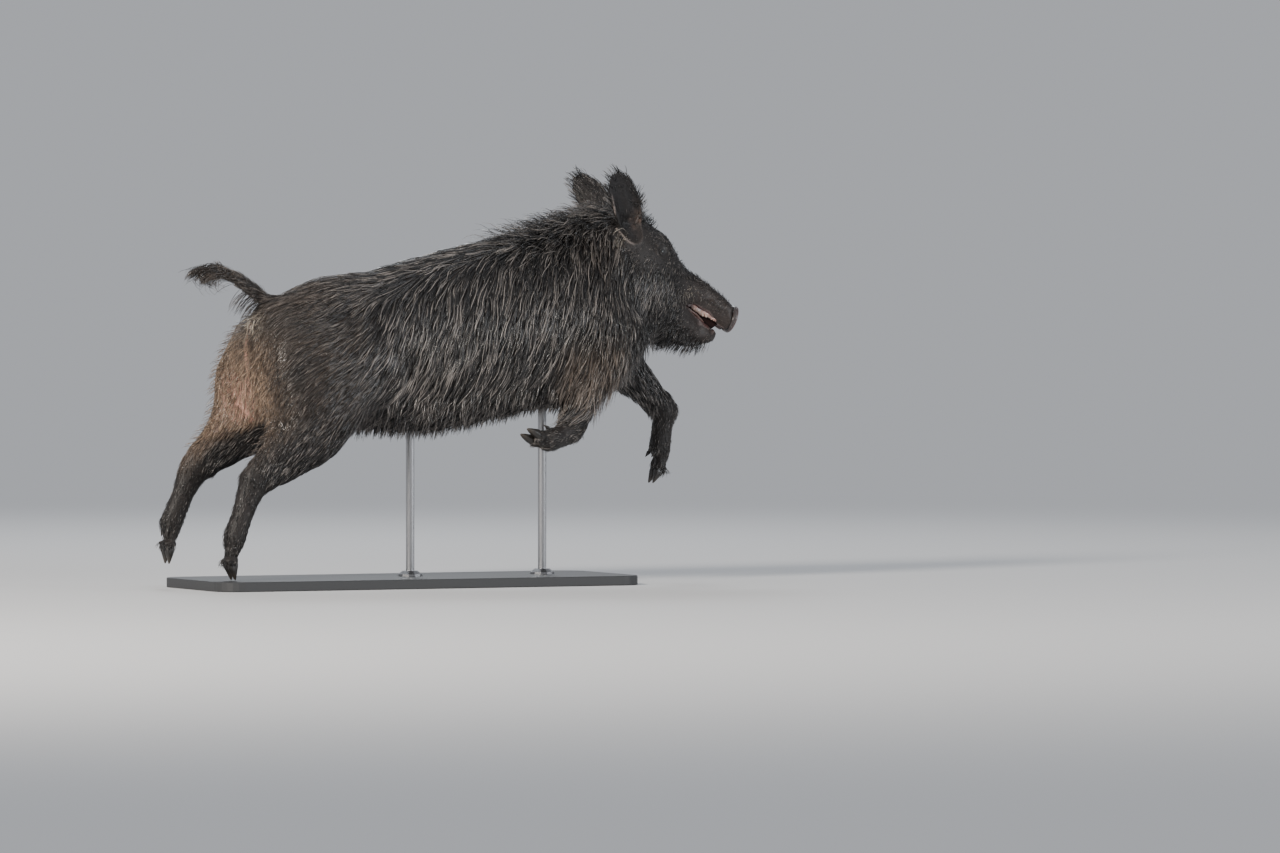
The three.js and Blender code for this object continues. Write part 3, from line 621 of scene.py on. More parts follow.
eyePlan = {
    "sink": 0.0020,  # how far behind the solid's eye the eyeball sits
    "halfLength": 0.0108,  # of the opening between the lids
    "upper": 0.0064,
    "lower": 0.0046,
    "lid": 0.0013,
    "tilt": 0.30,  # the inner corner lies lower, towards the snout
    "hollow": 0.0018,  # how far the skin dips under the eyeball
    "lidEdge": 0.0009,
    "upperCrease": 0.0011,
    "lowerCrease": 0.0008,
    "wrinkles": 0.0011,
    "brow": 0.0042,
}
eyeFrame = {}
for side, middle in eyeMiddle.items():
    close = (np.linalg.norm(points - middle, axis=1) < 0.03) & (np.sign(y) == np.sign(middle[1]))
    out = unit(normals[close].mean(0) + [0, 0.5 * np.sign(middle[1]), 0])
    towardsSnout = np.array([1, 0, -eyePlan["tilt"]])
    ahead = unit(towardsSnout - out * dot(towardsSnout, out))
    above = np.cross(ahead, out) * (1 if side == "right" else -1)
    above = above * np.sign(above[2])
    eyeFrame[side] = (middle - out * eyePlan["sink"], out, ahead, above)


def openingInside(a, b):
    # distance inside the almond between the lids: two parabolas over the line of the corners
    bow = 1 - (a / eyePlan["halfLength"]) ** 2
    gap = np.minimum(eyePlan["upper"] * bow - b, b + eyePlan["lower"] * bow)
    return np.where(bow > 0, gap, np.minimum(gap, eyePlan["halfLength"] - np.abs(a)))


def sculptEye(spots, side):
    # the skin dips under the eyeball inside the lids, covers it as two lids, then meets the face
    plan = eyePlan
    middle, out, ahead, above = eyeFrame[side]
    away = spots - middle
    n, a, b = away @ out, away @ ahead, away @ above
    reach = np.hypot(a, b)
    inside = openingInside(a, b)
    towards = unit(away)
    radius = eyeRadius + plan["lid"] - (plan["lid"] + plan["hollow"]) * ramp(inside, -0.0002, 0.0009)
    radius = radius + plan["lidEdge"] * bump(inside, -0.0012, 0.0010)
    radius = radius - plan["upperCrease"] * bump(inside, -0.0048, 0.0009) * (b > 0)
    radius = radius - plan["lowerCrease"] * bump(inside, -0.0040, 0.0009) * (b < 0)
    share = ramp(reach, 0.0195, 0.0125) * (n > 0)
    moved = spots + share[:, None] * (middle + towards * radius[:, None] - spots)
    folds = plan["wrinkles"] * np.sin((reach - 0.016) / 0.0024) * ramp(reach, 0.014, 0.018)
    folds *= ramp(reach, 0.036, 0.024) * ramp(b, 0.004, -0.006) * (n > 0)
    brow = plan["brow"] * bump(reach, 0.021, 0.006) * ramp(b, 0.004, 0.012) * (n > 0)
    return moved + out * (folds + brow)[:, None]


for side in eyeMiddle:
    points = sculptEye(points, side)
x, y, z = points.T
foldPlan = {  # how far each fold moves the skin
    "lipDrop": 0.0115,
    "lipLift": 0.0085,
    "bridge": 0.013,
    "forehead": 0.009,
    "browRise": 0.003,
    "wrinkles": 0.0007,
    "cheek": 0.0008,
    "body": 0.0016,
    "flank": 0.009,
    "earRidges": 0.0024,
    "earHollow": 0.006,
    "earRim": 0.0018,
}
stopCount = 28
jawStops = np.linspace(mouthCorner[0] - 0.01, discMiddle[0] + 0.01, stopCount)


def rimHeight(name, sign):
    # the lowest or highest skin of a jaw away from its middle, at even stops along the mouth
    chosen = (inParts(name) > 0) & (np.abs(points[:, 1]) > 0.012) & (points[:, 0] > jawStops[0])
    stop = np.clip(np.searchsorted(jawStops, points[chosen, 0]), 0, stopCount - 1)
    rim = np.full(stopCount, -np.inf)
    np.maximum.at(rim, stop, sign * points[chosen, 2])
    known = np.isfinite(rim)
    rim = np.interp(jawStops, jawStops[known], rim[known])
    rim = np.convolve(np.pad(rim, 2, "edge"), np.full(5, 0.2), "valid")
    return sign * np.interp(points[:, 0], jawStops, rim)


# the upper lip hangs lower towards the disc, and the lower lip stands higher
aside = ramp(np.abs(y), 0.008, 0.016)
lipDrop = ramp(x - mouthCorner[0], 0.030, 0.090) * aside * inParts("head")
lipDrop *= foldPlan["lipDrop"] * bump(z - rimHeight("head", -1), 0, 0.013)
lipLift = ramp(x - mouthCorner[0], 0.004, 0.030) * inParts("lower_jaw")
lipLift *= foldPlan["lipLift"] * bump(z - rimHeight("lower_jaw", 1), 0, 0.011)
lipLift *= np.maximum(aside, ramp(x - jawHigh[0], -0.02, -0.01))
points = points + smoothed(average, (lipLift - lipDrop)[:, None], 4) * [0, 0, 1.0]
x, y, z = points.T
browAt = eyeX + 0.042
profile = foldPlan["bridge"] * bump(x, browAt + 0.056, 0.036)
profile += foldPlan["forehead"] * bump(x, browAt - 0.048, 0.026)
profile -= foldPlan["browRise"] * bump(x, browAt, 0.012)
profile *= ramp(normals[:, 2], 0.15, 0.65) * inParts("head") * ramp(eyeGap, 0.018, 0.030)
points = points - normals * smoothed(average, profile[:, None], 8)
x, y, z = points.T

snoutAxis = unit(discMiddle - np.array([eyeX, 0, eyeZ - 0.03]))
alongSnout = (points - discMiddle) @ snoutAxis
wrinkles = np.sin(alongSnout / 0.0019 + 2.2 * sway(points, 0.05)) * ramp(alongSnout, -0.075, -0.045)
wrinkles *= ramp(alongSnout, -0.006, -0.014) * ramp(normals[:, 2], -0.2, 0.5) * inParts("head")
cheekFolds = sway(points, 0.026, 1) * ramp(alongSnout, -0.24, -0.2) * face * (1 - inMouth)
relief = foldPlan["wrinkles"] * wrinkles + foldPlan["cheek"] * cheekFolds
smoothParts = inParts("trunk", "neck", *("leg_" + name for name in legNames))
relief += foldPlan["body"] * sway(points, 0.07, 2) * smoothParts
flankFold = bump(x - (trunkLow[0] + 0.35) - 0.30 * (0.80 - z), 0, 0.034)
flankFold *= ramp(np.abs(normals[:, 1]), 0.4, 0.8)
relief -= foldPlan["flank"] * flankFold * ramp(z, 0.86, 0.74) * ramp(z, 0.40, 0.50) * inParts("trunk")

earUp, earAhead, earFaces = bothEars(points, normals)
isEar = inParts("ear_left", "ear_right")
ridges = np.sin(earAhead * 7 + 1.6 * earUp) * ramp(earUp, 0.85, 0.4) * ramp(earFaces, 0.2, 0.7) * isEar
relief += foldPlan["earRidges"] * ridges
concha = ramp(np.hypot(earAhead / 0.75, (earUp - 0.06) / 0.24), 1.0, 0.35) * ramp(earFaces, 0.0, 0.5)
concha *= sideOf("head", "neck", "ear_left", "ear_right")
relief -= foldPlan["earHollow"] * concha
earEdge = np.hypot(earAhead / 0.90, np.minimum(earUp - 0.25, 0) / 0.42)
rimRidge = bump(earEdge, 1.0, 0.08) * ramp(earUp, -0.30, -0.1) * ramp(earUp, 0.75, 0.6)
rimRidge *= ramp(earFaces, -0.1, 0.3) * sideOf("head", "neck", "ear_left", "ear_right")
relief += foldPlan["earRim"] * rimRidge
points = points + normals * relief[:, None]
setPoints(mesh, points)
points = meshPoints(mesh)
normals = meshNormals(mesh)
flow = unit(flow - normals * dot(flow, normals))
print("folds")


# Colours of the hide

hideColours = {
    "dark": (0.0090, 0.0085, 0.0087),
    # the grey of the hairs stands partly for painted glints on the wet coat
    "greyAndGlint": (0.178, 0.160, 0.148),
    "brown": (0.052, 0.038, 0.029),
    "tan": (0.33, 0.230, 0.155),
    "pale": (0.40, 0.35, 0.28),
    "skin": (0.014, 0.0115, 0.0105),
    "muzzle": (0.022, 0.0165, 0.0145),
    "pink": (0.46, 0.25, 0.195),
    # painted light: the lit patch inside the ear's hollow
    "earLit": (0.070, 0.049, 0.041),
    "earDark": (0.013, 0.0115, 0.0115),
    # pale, painted highlight on the lips and ear rims
    "paleHighlight": (0.20, 0.165, 0.15),
    # painted shade: mouth flesh in shadow
    "mouthInShade": (0.045, 0.017, 0.016),
}
earLow, earHigh = boxOf("ear_right")
underTail = tailLow[2] - 0.048


def markings(place, across):
    # shares of brown, tan, pink and pale at each place; across is the normal there. The brown and tan on the
    # rear face are partly the coat's own colour and partly painted warm light
    x, y, z = place.T
    rump = ramp(x, rumpStart - 0.02, rumpEnd - 0.02) * ramp(z, 0.3, 0.5)
    # the rear face, turned towards the key lamp: its brown and tan are partly painted warm light
    rearFace = ramp(-across[:, 0], 0.10, 0.65) * ramp(x - trunkLow[0], 0.20, 0.07)
    rearFace *= ramp(z, 0.26, 0.36) * ramp(z, 0.73, 0.62)
    brown = 0.80 * rump * (0.7 + 0.3 * sway(place, 0.12)) + 0.6 * rearFace
    patchy = 0.85 + 0.3 * sway(place, 0.03, 1)
    tan = rearFace * bump(y, -0.045, 0.075) * bump(z, 0.51, 0.12) * patchy
    tan += 0.75 * rearFace * bump(y, 0.085, 0.06) * bump(z, 0.50, 0.18)
    mottled = 0.85 + 0.5 * sway(place, 0.016, 2)
    pink = 1.05 * rearFace * bump(y, 0.040, 0.052) * bump(z, 0.480, 0.080) * mottled
    pink += 0.9 * rearFace * bump(y, -0.006, 0.009) * bump(z, 0.60, 0.09)
    foreArm = ramp(x, 0.2, 0.28) * ramp(x, 0.44, 0.36) * ramp(z, 0.48, 0.54) * ramp(z, 0.70, 0.62)
    brown += 0.6 * foreArm * ramp(np.abs(y), 0.07, 0.12)
    tan += 0.09 * foreArm * ramp(np.abs(y), 0.07, 0.12)
    # a small patch of pale glints painted under each ear base
    underEarGlint = bump(x, earLow[0] + 0.060, 0.020) * bump(z, earLow[2] - 0.018, 0.010)
    pale = 0.6 * underEarGlint * ramp(np.abs(y), 0.05, 0.08)
    behindEar = bump(x, earLow[0] - 0.01, 0.07) * bump(z, earLow[2] - 0.01, 0.05)
    brown += 0.6 * behindEar * ramp(np.abs(y), 0.04, 0.08)
    overCorner = bump(x, mouthCorner[0] + 0.034, 0.024) * bump(z, mouthCorner[2] + 0.034, 0.020)
    pale += 0.45 * overCorner
    tuft = bump(np.hypot(y + 0.02, z - underTail), 0, 0.024)
    pale += 0.9 * tuft * ramp(x - trunkLow[0], 0.12, 0.08)
    return [np.clip(value, 0, 1) for value in (brown, tan, pink, pale)]


def tint(base, share, colour):
    return mix(base, hideColours[colour], share)


def skinColour(place, across):
    brown, tan, pink, pale = markings(place, across)
    colour = np.tile(hideColours["skin"], (len(place), 1))
    colour = tint(colour, 0.4 * brown, "brown")
    colour = tint(colour, 0.30 * tan, "tan")
    colour = tint(colour, 0.9 * pink, "pink")
    colour = tint(colour, snout * face, "muzzle")
    hollow = np.maximum(isEar * ramp(earFaces, 0.1, 0.6), concha)
    colour = tint(colour, hollow, "earDark")
    # painted light: a lighter patch in the lower front of the ear's hollow, where light falls in
    lit = bump(earUp, 0.13, 0.15) * ramp(earAhead, 0.0, 0.45) * (0.7 + 0.5 * sway(place, 0.02, 2))
    colour = tint(colour, 0.9 * hollow * lit, "earLit")
    # painted highlight: a pale line along the ear's rim, strongest at the rear
    rimLine = bump(earEdge, 1.0, 0.045) * ramp(earUp, -0.30, -0.1) * ramp(earUp, 0.75, 0.6)
    rimLine *= ramp(earFaces, -0.2, 0.2) * (rimRidge > 0.05)
    colour = tint(colour, (0.12 + 0.63 * ramp(earAhead, -0.1, -0.6)) * rimLine, "paleHighlight")
    # painted highlight: a pale line along the edge of the mouth, the wet lip's shine
    edge = 4 * inMouth * (1 - inMouth)
    # painted shade: the skin inside the mouth is dark red-brown over the pink flesh
    colour = tint(colour, inMouth, "mouthInShade")
    colour = tint(colour, 0.35 * np.clip(edge, 0, 1) ** 4, "paleHighlight")
    return colour


hairTones = {
    "lockShare": 0.62,  # how far a hair's tone follows its lock
    "greyStart": 0.58,
    "greyFull": 0.98,
    "greyMost": 0.78,
    # painted glint: extra grey hairs low on the flank
    "lowFlankGlint": 0.17,
}


def hairColour(place, across, luck, lockLuck):
    # most hairs are near black; some locks, and lone hairs in them, are grey: partly the coat's own grey and
    # partly painted glint of the wet strands. The extra grey low on the flank is painted glint
    brown, tan, pink, pale = markings(place, across)
    colour = np.tile(hideColours["dark"], (len(place), 1)) * (0.55 + 0.9 * luck[:, :1])
    tones = hairTones
    # painted glint: more grey hairs low on the flank
    low = tones["lowFlankGlint"] * ramp(place[:, 2], 0.68, 0.50) * ramp(place[:, 0], rumpEnd, rumpStart)
    light = tones["lockShare"] * lockLuck + (1 - tones["lockShare"]) * luck[:, 1] + low
    light = ramp(light, tones["greyStart"], tones["greyFull"])
    colour = tint(colour, tones["greyMost"] * light * (1 - 0.25 * np.clip(brown, 0, 1)), "greyAndGlint")
    colour = tint(colour, np.clip(brown * (0.06 + 0.85 * lockLuck), 0, 1), "brown")
    colour = tint(colour, np.clip(tan * (0.10 + 0.5 * lockLuck + 0.9 * luck[:, 2] ** 2), 0, 1), "tan")
    colour = tint(colour, 0.45 * pink, "tan")
    return tint(colour, pale * ramp(lockLuck, 0.3, 0.7), "pale")


def storeColour(mesh, name, colours):
    layer = mesh.attributes.new(name, "FLOAT_COLOR", "POINT")
    full = np.ones((len(colours), 4), dtype=np.float32)
    full[:, :3] = colours
    layer.data.foreach_set("color", full.ravel())


def storeValue(mesh, name, values):
    layer = mesh.attributes.new(name, "FLOAT", "POINT")
    layer.data.foreach_set("value", values.astype(np.float32))


storeColour(mesh, "hide", skinColour(points, normals))
storeValue(mesh, "wetness", np.clip(inMouth + 0.12 * snout * face + ramp(eyeGap, 0.022, 0.014), 0, 1))


# Coat

mesh.calc_loop_triangles()
corners = faceCorners(mesh.loop_triangles)
print("skin triangles", len(corners))
first, second, third = points[corners].transpose(1, 0, 2)
faceArea = np.linalg.norm(np.cross(second - first, third - first), axis=1) / 2


def scattered(weights, count):
    # faces picked evenly along their running total, and a random place in each
    total = np.cumsum(weights)
    ticks = (np.arange(count) + dice.random(count)) / count * total[-1]
    face = np.minimum(np.searchsorted(total, ticks), len(total) - 1)
    a, b = dice.random((2, count))
    flip = a + b > 1
    a[flip], b[flip] = 1 - a[flip], 1 - b[flip]
    shares = np.stack([1 - a - b, a, b], axis=1)
    return face, shares


def onFaces(values, face, shares):
    return np.einsum("ij,ij...->i...", shares, values[corners[face]])


def surfaceGuide(cell, samples):
    # a grid of mean place, normal and lie of the skin, spread a few cells outwards
    face, shares = scattered(faceArea, samples)
    spots = onFaces(points, face, shares)
    ups = onFaces(normals, face, shares)
    lies = onFaces(flow, face, shares)
    margin, spreads = 8, 5
    low = spots.min(0) - margin * cell
    counts = np.ceil((spots.max(0) - low) / cell).astype(int) + margin + 1
    cellOf = np.ravel_multi_index(((spots - low) / cell).astype(int).T, counts)
    columns = np.concatenate([spots, ups, lies, np.ones((samples, 1))], axis=1)
    size = int(np.prod(counts))
    grid = np.stack([np.bincount(cellOf, weights=column, minlength=size) for column in columns.T])
    grid = grid.reshape(10, *counts).astype(np.float32)
    for _ in range(spreads):
        spread = np.zeros_like(grid)
        for axis in (1, 2, 3):
            spread += np.roll(grid, 1, axis) + np.roll(grid, -1, axis)
        grid = np.where(grid[9] > 0, grid, spread)
    grid = grid.reshape(10, -1).T

    def guide(places):
        where = np.clip(((places - low) / cell).astype(int), 0, counts - 1)
        found = grid[np.ravel_multi_index(where.T, counts)].astype(float)
        weight = np.maximum(found[:, 9:], 1e-9)
        return found[:, :3] / weight, unit(found[:, 3:6]), unit(found[:, 6:9]), found[:, 9] > 0

    return guide


guide = surfaceGuide(0.009, 240000)
print("guide")


def shuffled(values, spin=9731.7):
    # a value from 0 to 1 that looks random: the fraction of a large multiple of the sine
    return np.modf(np.abs(np.sin(values)) * spin)[0]


def locksOf(roots, size):
    # roots that share the nearest point of a jittered grid are one lock; each lock has its own luck
    home = np.floor(roots / size).astype(np.int64)
    best = np.full(len(roots), np.inf)
    choice = np.zeros(len(roots), dtype=np.int64)
    for offset in np.ndindex(3, 3, 3):
        cell = home + np.array(offset) - 1
        key = (cell[:, 0] * 73856093) ^ (cell[:, 1] * 19349663) ^ (cell[:, 2] * 83492791)  # large primes
        jitter = np.stack([shuffled(key * rate) for rate in (0.013, 0.029, 0.037)], axis=1)
        gap = np.sum(((cell + jitter) * size - roots) ** 2, axis=1)
        better = gap < best
        best[better] = gap[better]
        choice[better] = key[better]
    _, lock = np.unique(choice, return_inverse=True)
    return lock, shuffled(choice * 0.0713, 4517.3)


def drawnTogether(paths, lock, pull, power):
    # the hairs of a lock bend towards its mean path, more so near their tips
    members = np.bincount(lock)
    flat = paths.reshape(len(paths), -1)
    mean = np.stack([np.bincount(lock, weights=column) / members for column in flat.T], axis=1)
    mean = mean.reshape(-1, *paths.shape[1:])[lock]
    t = np.linspace(0, 1, paths.shape[1])[None, :, None]
    return paths + np.reshape(pull, (-1, 1, 1)) * t**power * (mean - paths)


mostLift = 0.006  # how far one step may move a hair up or down


def layHairs(roots, ups, lies, plan, reach, rise):
    # each hair steps along the lie of the coat and keeps the height asked for over the skin
    count, steps = len(roots), plan["steps"]
    stray = dice.normal(size=(count, 3)) * plan["stray"]
    phase = 4 * sway(roots, 0.11) + dice.random(count) * plan["phaseSpread"]
    wave = plan["wave"] * (0.4 + 0.8 * dice.random(count))
    hang = np.array(plan["hang"])
    here = roots - ups * plan["sink"]
    paths, frames = [here], [ups]
    for step in range(1, steps + 1):
        t = step / steps
        _, up, lie, known = guide(here)
        up = np.where(known[:, None], up, ups)
        lie = np.where(known[:, None], lie, lies)
        side = np.cross(up, lie)
        ahead = lie + stray + side * (wave * np.sin(phase + 2 * math.pi * plan["waves"] * t))[:, None]
        ahead = unit(ahead - up * dot(ahead, up))
        ahead = unit(ahead + plan["hangShare"] * t * hang + plan["lift"] * (1 - t) * up)
        here = here + ahead * (reach / steps)[:, None]
        middle, up, _, known = guide(here)
        up = np.where(known[:, None], up, frames[-1])
        height = dot(here - middle, up)[:, 0]
        wanted = rise * t ** plan["rounding"]
        off = wanted - height
        off = np.where(off > 0, off, off * plan["cling"])
        off = np.where(known, off, 0)
        here = here + up * np.clip(off, -mostLift, mostLift)[:, None]
        paths.append(here)
        frames.append(unit(up))
    return np.stack(paths, axis=1), np.stack(frames, axis=1)


def freeHairs(roots, ups, lies, plan, reach):
    # each hair leaves the skin one way and turns evenly through a second way to a third
    count, steps = len(roots), plan["steps"]
    stray = dice.normal(size=(count, 3)) * plan["stray"]
    first = unit(plan["alongLie"] * lies + plan["stand"] * ups + np.array(plan["push"]) + stray)
    last = unit(plan["lastLie"] * lies - plan["settle"] * ups + np.array(plan["lastPush"]) + stray)
    middle = unit(np.array(plan["midPush"]) + stray) if "midPush" in plan else unit(first + last)
    side = unit(np.cross(ups, first))
    phase = dice.random(count) * 2 * math.pi
    here = roots - ups * plan["sink"]
    paths = [here]
    for step in range(steps):
        t = (step + 0.5) / steps
        ahead = (1 - t) ** 2 * first + 2 * t * (1 - t) * middle + t * t * last
        ahead = ahead + side * (plan["wave"] * np.sin(phase + 2 * math.pi * plan["waves"] * t))[:, None]
        here = here + unit(ahead) * (reach / steps)[:, None]
        paths.append(here)
    return np.stack(paths, axis=1), np.repeat(ups[:, None], steps + 1, axis=1)


tuftPatch = 0.003  # size of each hair's patch on the unwrap
patchMargin = 0.002
patchSpan = 0.993


def spikes(name, paths, frames, width, colours, spread):
    # a closed three-sided spike round each path: rings of three corners, then a point. The width
    # along it is a parabola over the share of the way: it swells a little, then thins to the point
    count, rings = paths.shape[:2]
    rings -= 1
    ahead = unit(np.gradient(paths, axis=1))
    side = unit(np.cross(ahead, frames) + 1e-4)
    up = np.cross(side, ahead)
    t = np.linspace(0, 1, rings + 1)[:rings]
    half = (0.5 * width[:, None] * (0.62 + 1.5 * t - 1.9 * t**2)[None])[..., None]
    middle, sides, ups = paths[:, :rings], side[:, :rings], up[:, :rings]
    flat, below = 0.75, 0.4
    top = middle + ups * half * flat
    rightCorner = middle + sides * half - ups * half * below * flat
    leftCorner = middle - sides * half - ups * half * below * flat
    ringPoints = np.stack([top, rightCorner, leftCorner], axis=2).reshape(count, rings * 3, 3)
    spots = np.concatenate([ringPoints, paths[:, -1:]], axis=1)
    each = rings * 3 + 1
    faces, uvCorner = [], []
    for ring in range(rings):
        low, high = ring / rings, (ring + 1) / rings
        for i in range(3):
            a, b = ring * 3 + i, ring * 3 + (i + 1) % 3
            if ring < rings - 1:
                faces += [[a, b, b + 3], [a, b + 3, a + 3]]
                uvCorner += [[(i, low), (i + 1, low), (i + 1, high)], [(i, low), (i + 1, high), (i, high)]]
            else:
                faces.append([a, b, each - 1])
                uvCorner.append([(i, low), (i + 1, low), (i + 0.5, 1)])
    faces.append([2, 1, 0])
    uvCorner.append([(2, 0), (1, 0), (0, 0)])
    allFaces = (np.array(faces)[None] + (np.arange(count) * each)[:, None, None]).reshape(-1, 3)
    mesh = meshFromArrays(name, spots.reshape(-1, 3), allFaces)
    storeValue(mesh, "alongHair", np.tile(np.append(np.repeat(t, 3), 1), count))
    storeColour(mesh, "hide", np.repeat(colours, each, axis=0))
    patch = np.array(uvCorner) * np.array([1 / 3, 1]) * tuftPatch
    places = (patch[None] + spread[:, None, None]).astype(np.float32)
    mesh.uv_layers.new(name="OFBake").data.foreach_set("uv", places.reshape(-1, 2).ravel())
    return newObject(name, mesh)


def unwrapped(roots, axis):
    # a tube's unwrap: the way along the axis, and the angle round the middle of each stretch
    axis = unit(np.array(axis, dtype=float))
    aside = unit(np.cross(axis, [0.13, 0.97, 0.21]))
    away = np.cross(axis, aside)
    way = roots @ axis
    way = (way - way.min()) / max(np.ptp(way), 1e-6)
    stretches = 12
    bins = np.minimum((way * stretches).astype(int), stretches - 1)
    members = np.maximum(np.bincount(bins, minlength=stretches), 1)
    mean = [np.bincount(bins, weights=column, minlength=stretches) / members for column in roots.T]
    middle = np.stack([np.interp(way * stretches - 0.5, np.arange(stretches), row) for row in mean], axis=1)
    turn = np.arctan2((roots - middle) @ away, (roots - middle) @ aside) / (2 * math.pi) + 0.5
    return patchMargin + patchSpan * np.stack([way, turn], axis=1)


# Materials

def newMaterial(name, shaderInputs):
    # a material with its shader's own values: the material, its tree and its shader
    material = bpy.data.materials.new(name)
    material.use_nodes = True
    tree = material.node_tree
    shader = tree.nodes["Principled BSDF"]
    feed(tree, shader, shaderInputs)
    return material, tree, shader


def objectPlace(tree):
    return put(tree, "ShaderNodeTexCoord", {}).outputs["Object"]


def attribute(tree, name, output="Color"):
    return put(tree, "ShaderNodeAttribute", {}, attribute_name=name).outputs[output]


def maths(tree, operation, *values):
    return put(tree, "ShaderNodeMath", dict(enumerate(values)), operation=operation).outputs[0]


def scaled(tree, vector, scale):
    return put(tree, "ShaderNodeVectorMath", {0: vector, "Scale": scale}, operation="SCALE").outputs[0]


def mapped(tree, value, start, end, low=0.0, high=1.0, **settings):
    inputs = {"Value": value, "From Min": start, "From Max": end, "To Min": low, "To Max": high}
    return put(tree, "ShaderNodeMapRange", inputs, **settings).outputs["Result"]


def blended(tree, share, first, second):
    return put(tree, "ShaderNodeMix", {"Factor": share, 6: first, 7: second}, data_type="RGBA").outputs[2]


def bumped(tree, shader, height, distance, strength):
    inputs = {"Height": height, "Distance": distance, "Strength": strength}
    feed(tree, shader, {"Normal": put(tree, "ShaderNodeBump", inputs).outputs["Normal"]})


def colourRamp(tree, value, *stops):
    made = put(tree, "ShaderNodeValToRGB", {"Fac": value})
    while len(made.color_ramp.elements) < len(stops):
        made.color_ramp.elements.new(1.0)
    for element, (spot, *colour) in zip(made.color_ramp.elements, stops):
        element.position = spot
        element.color = (*colour, 1)
    return made.outputs["Color"]


def speckleGroup():
    # fine unevenness from two noises: a colour made lighter and darker, a roughness and a height
    takes = {"Place": "Vector", "Colour": "Color"}
    takes.update({name: "Float" for name in ("Scale", "Contrast", "Roughness")})
    gives = {"Colour": "Color", "Roughness": "Float", "Height": "Float"}
    tree, takes, end = newGroup("speckle", "ShaderNodeTree", takes, gives)
    coarse = put(tree, "ShaderNodeTexNoise", {"Vector": takes["Place"], "Scale": takes["Scale"]})
    finer = maths(tree, "MULTIPLY", takes["Scale"], 5.3)
    fine = put(tree, "ShaderNodeTexNoise", {"Vector": takes["Place"], "Scale": finer})
    both = maths(tree, "ADD", coarse.outputs["Fac"], fine.outputs["Fac"])
    centred = maths(tree, "SUBTRACT", both, 1.0)
    swing = maths(tree, "MULTIPLY_ADD", centred, takes["Contrast"], 1.0)
    rough = maths(tree, "MULTIPLY_ADD", centred, 0.18, takes["Roughness"])
    feed(tree, end, {"Colour": scaled(tree, takes["Colour"], swing), "Roughness": rough, "Height": both})
    return tree


speckle = speckleGroup()


def speckled(tree, shader, scale, contrast, roughness, colour, bumpHeight=0.0, spot=None):
    inputs = {"Scale": scale, "Contrast": contrast, "Roughness": roughness, "Colour": colour}
    inputs["Place"] = spot or objectPlace(tree)
    made = put(tree, "ShaderNodeGroup", {}, node_tree=speckle)
    feed(tree, made, inputs)
    feed(tree, shader, {"Base Color": made.outputs["Colour"], "Roughness": made.outputs["Roughness"]})
    if bumpHeight:
        bumped(tree, shader, made.outputs["Height"], bumpHeight, 0.7)


hairLook = {
    "roughness": 0.36,
    "wet": 0.55,  # weight of the water film
    "wetRoughness": 0.16,
    # tips lighter than roots: partly the coat's own paler tips, partly painted highlight
    "tipLift": 2.3,  # how much lighter a hair's tip is than its root
}


def hairMaterial():
    film = {"Coat Weight": hairLook["wet"], "Coat Roughness": hairLook["wetRoughness"]}
    material, tree, shader = newMaterial("wetBristle", film)
    # colour made lighter towards the tip, partly as painted highlight
    lighter = mapped(tree, attribute(tree, "alongHair", "Fac"), 0.15, 1.0, 0.75, hairLook["tipLift"])
    tip = scaled(tree, attribute(tree, "hide"), lighter)
    speckled(tree, shader, 70.0, 0.7, hairLook["roughness"], tip)
    return material


def skinMaterial():
    # the hide's colour with a fine grain of short fur, stretched along the lie of the face
    shine = {"Specular IOR Level": 0.3, "Coat Roughness": 0.22}
    material, tree, shader = newMaterial("hideUnderCoat", shine)
    inputs = {"Vector": objectPlace(tree), "Rotation": (0, math.radians(-29), 0), "Scale": (9.0, 1.0, 1.0)}
    turned = put(tree, "ShaderNodeMapping", inputs, vector_type="TEXTURE").outputs[0]
    grain = put(tree, "ShaderNodeTexNoise", {"Vector": turned, "Scale": 900, "Detail": 3}).outputs["Fac"]
    lighter = mapped(tree, grain, 0.35, 0.72, 0.45, 2.3)
    speckled(tree, shader, 160.0, 0.7, 0.52, scaled(tree, attribute(tree, "hide"), lighter))
    bumped(tree, shader, grain, 0.0007, 0.8)
    feed(tree, shader, {"Coat Weight": maths(tree, "MULTIPLY", attribute(tree, "wetness", "Fac"), 0.5)})
    return material


hair = hairMaterial()
skin.data.materials.clear()
skin.data.materials.append(skinMaterial())
skin.name = "skin"
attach(skin, "root")
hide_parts(*fleshNodes)


# Pieces of the coat. Each plan says how its hairs lie; lengths are in metres.

layPlan = {
    "steps": 3,
    "sink": 0.0012,
    "stray": 0.10,
    "wave": 0.42,
    "waves": 0.75,
    "phaseSpread": 1.6,
    "hang": (-0.10, 0, -1.0),
    "hangShare": 0.10,
    "lift": 0.22,
    "rounding": 0.75,
    "cling": 0.8,
    "lock": 0.0105,
    "pull": 0.82,
    "power": 0.8,
    "longer": 1.0,
    "higher": 1.0,
    "wider": 1.0,
    "light": 0.0,  # added to the luck of each lock, so that more of them are light
}
freePlan = {
    "steps": 3,
    "sink": 0.0012,
    "stray": 0.16,
    "alongLie": 1.0,
    "stand": 0.3,
    "push": (0, 0, 0),
    "lastLie": 1.0,
    "lastPush": (0, 0, 0),
    "settle": 0.0,
    "wave": 0.10,
    "waves": 0.6,
    "lock": 0.008,
    "pull": 0.4,
    "power": 1.2,
    "wide": None,  # the skin's own measure, unless a piece gives one
    "reach": None,
    "longer": 1.0,
    "wider": 1.0,
    "light": 0.0,
}
varyPlan = {  # the least share of each measure, and how much a hair's luck adds
    "reach": (0.70, 0.45),
    "width": (0.7, 0.6),
    "rise": (0.15, 0.85),
    "pull": (0.7, 0.5),
}
mostPull = 0.96
coatCount = {}


def varied(kind, luck):
    least, more = varyPlan[kind]
    return least + more * luck


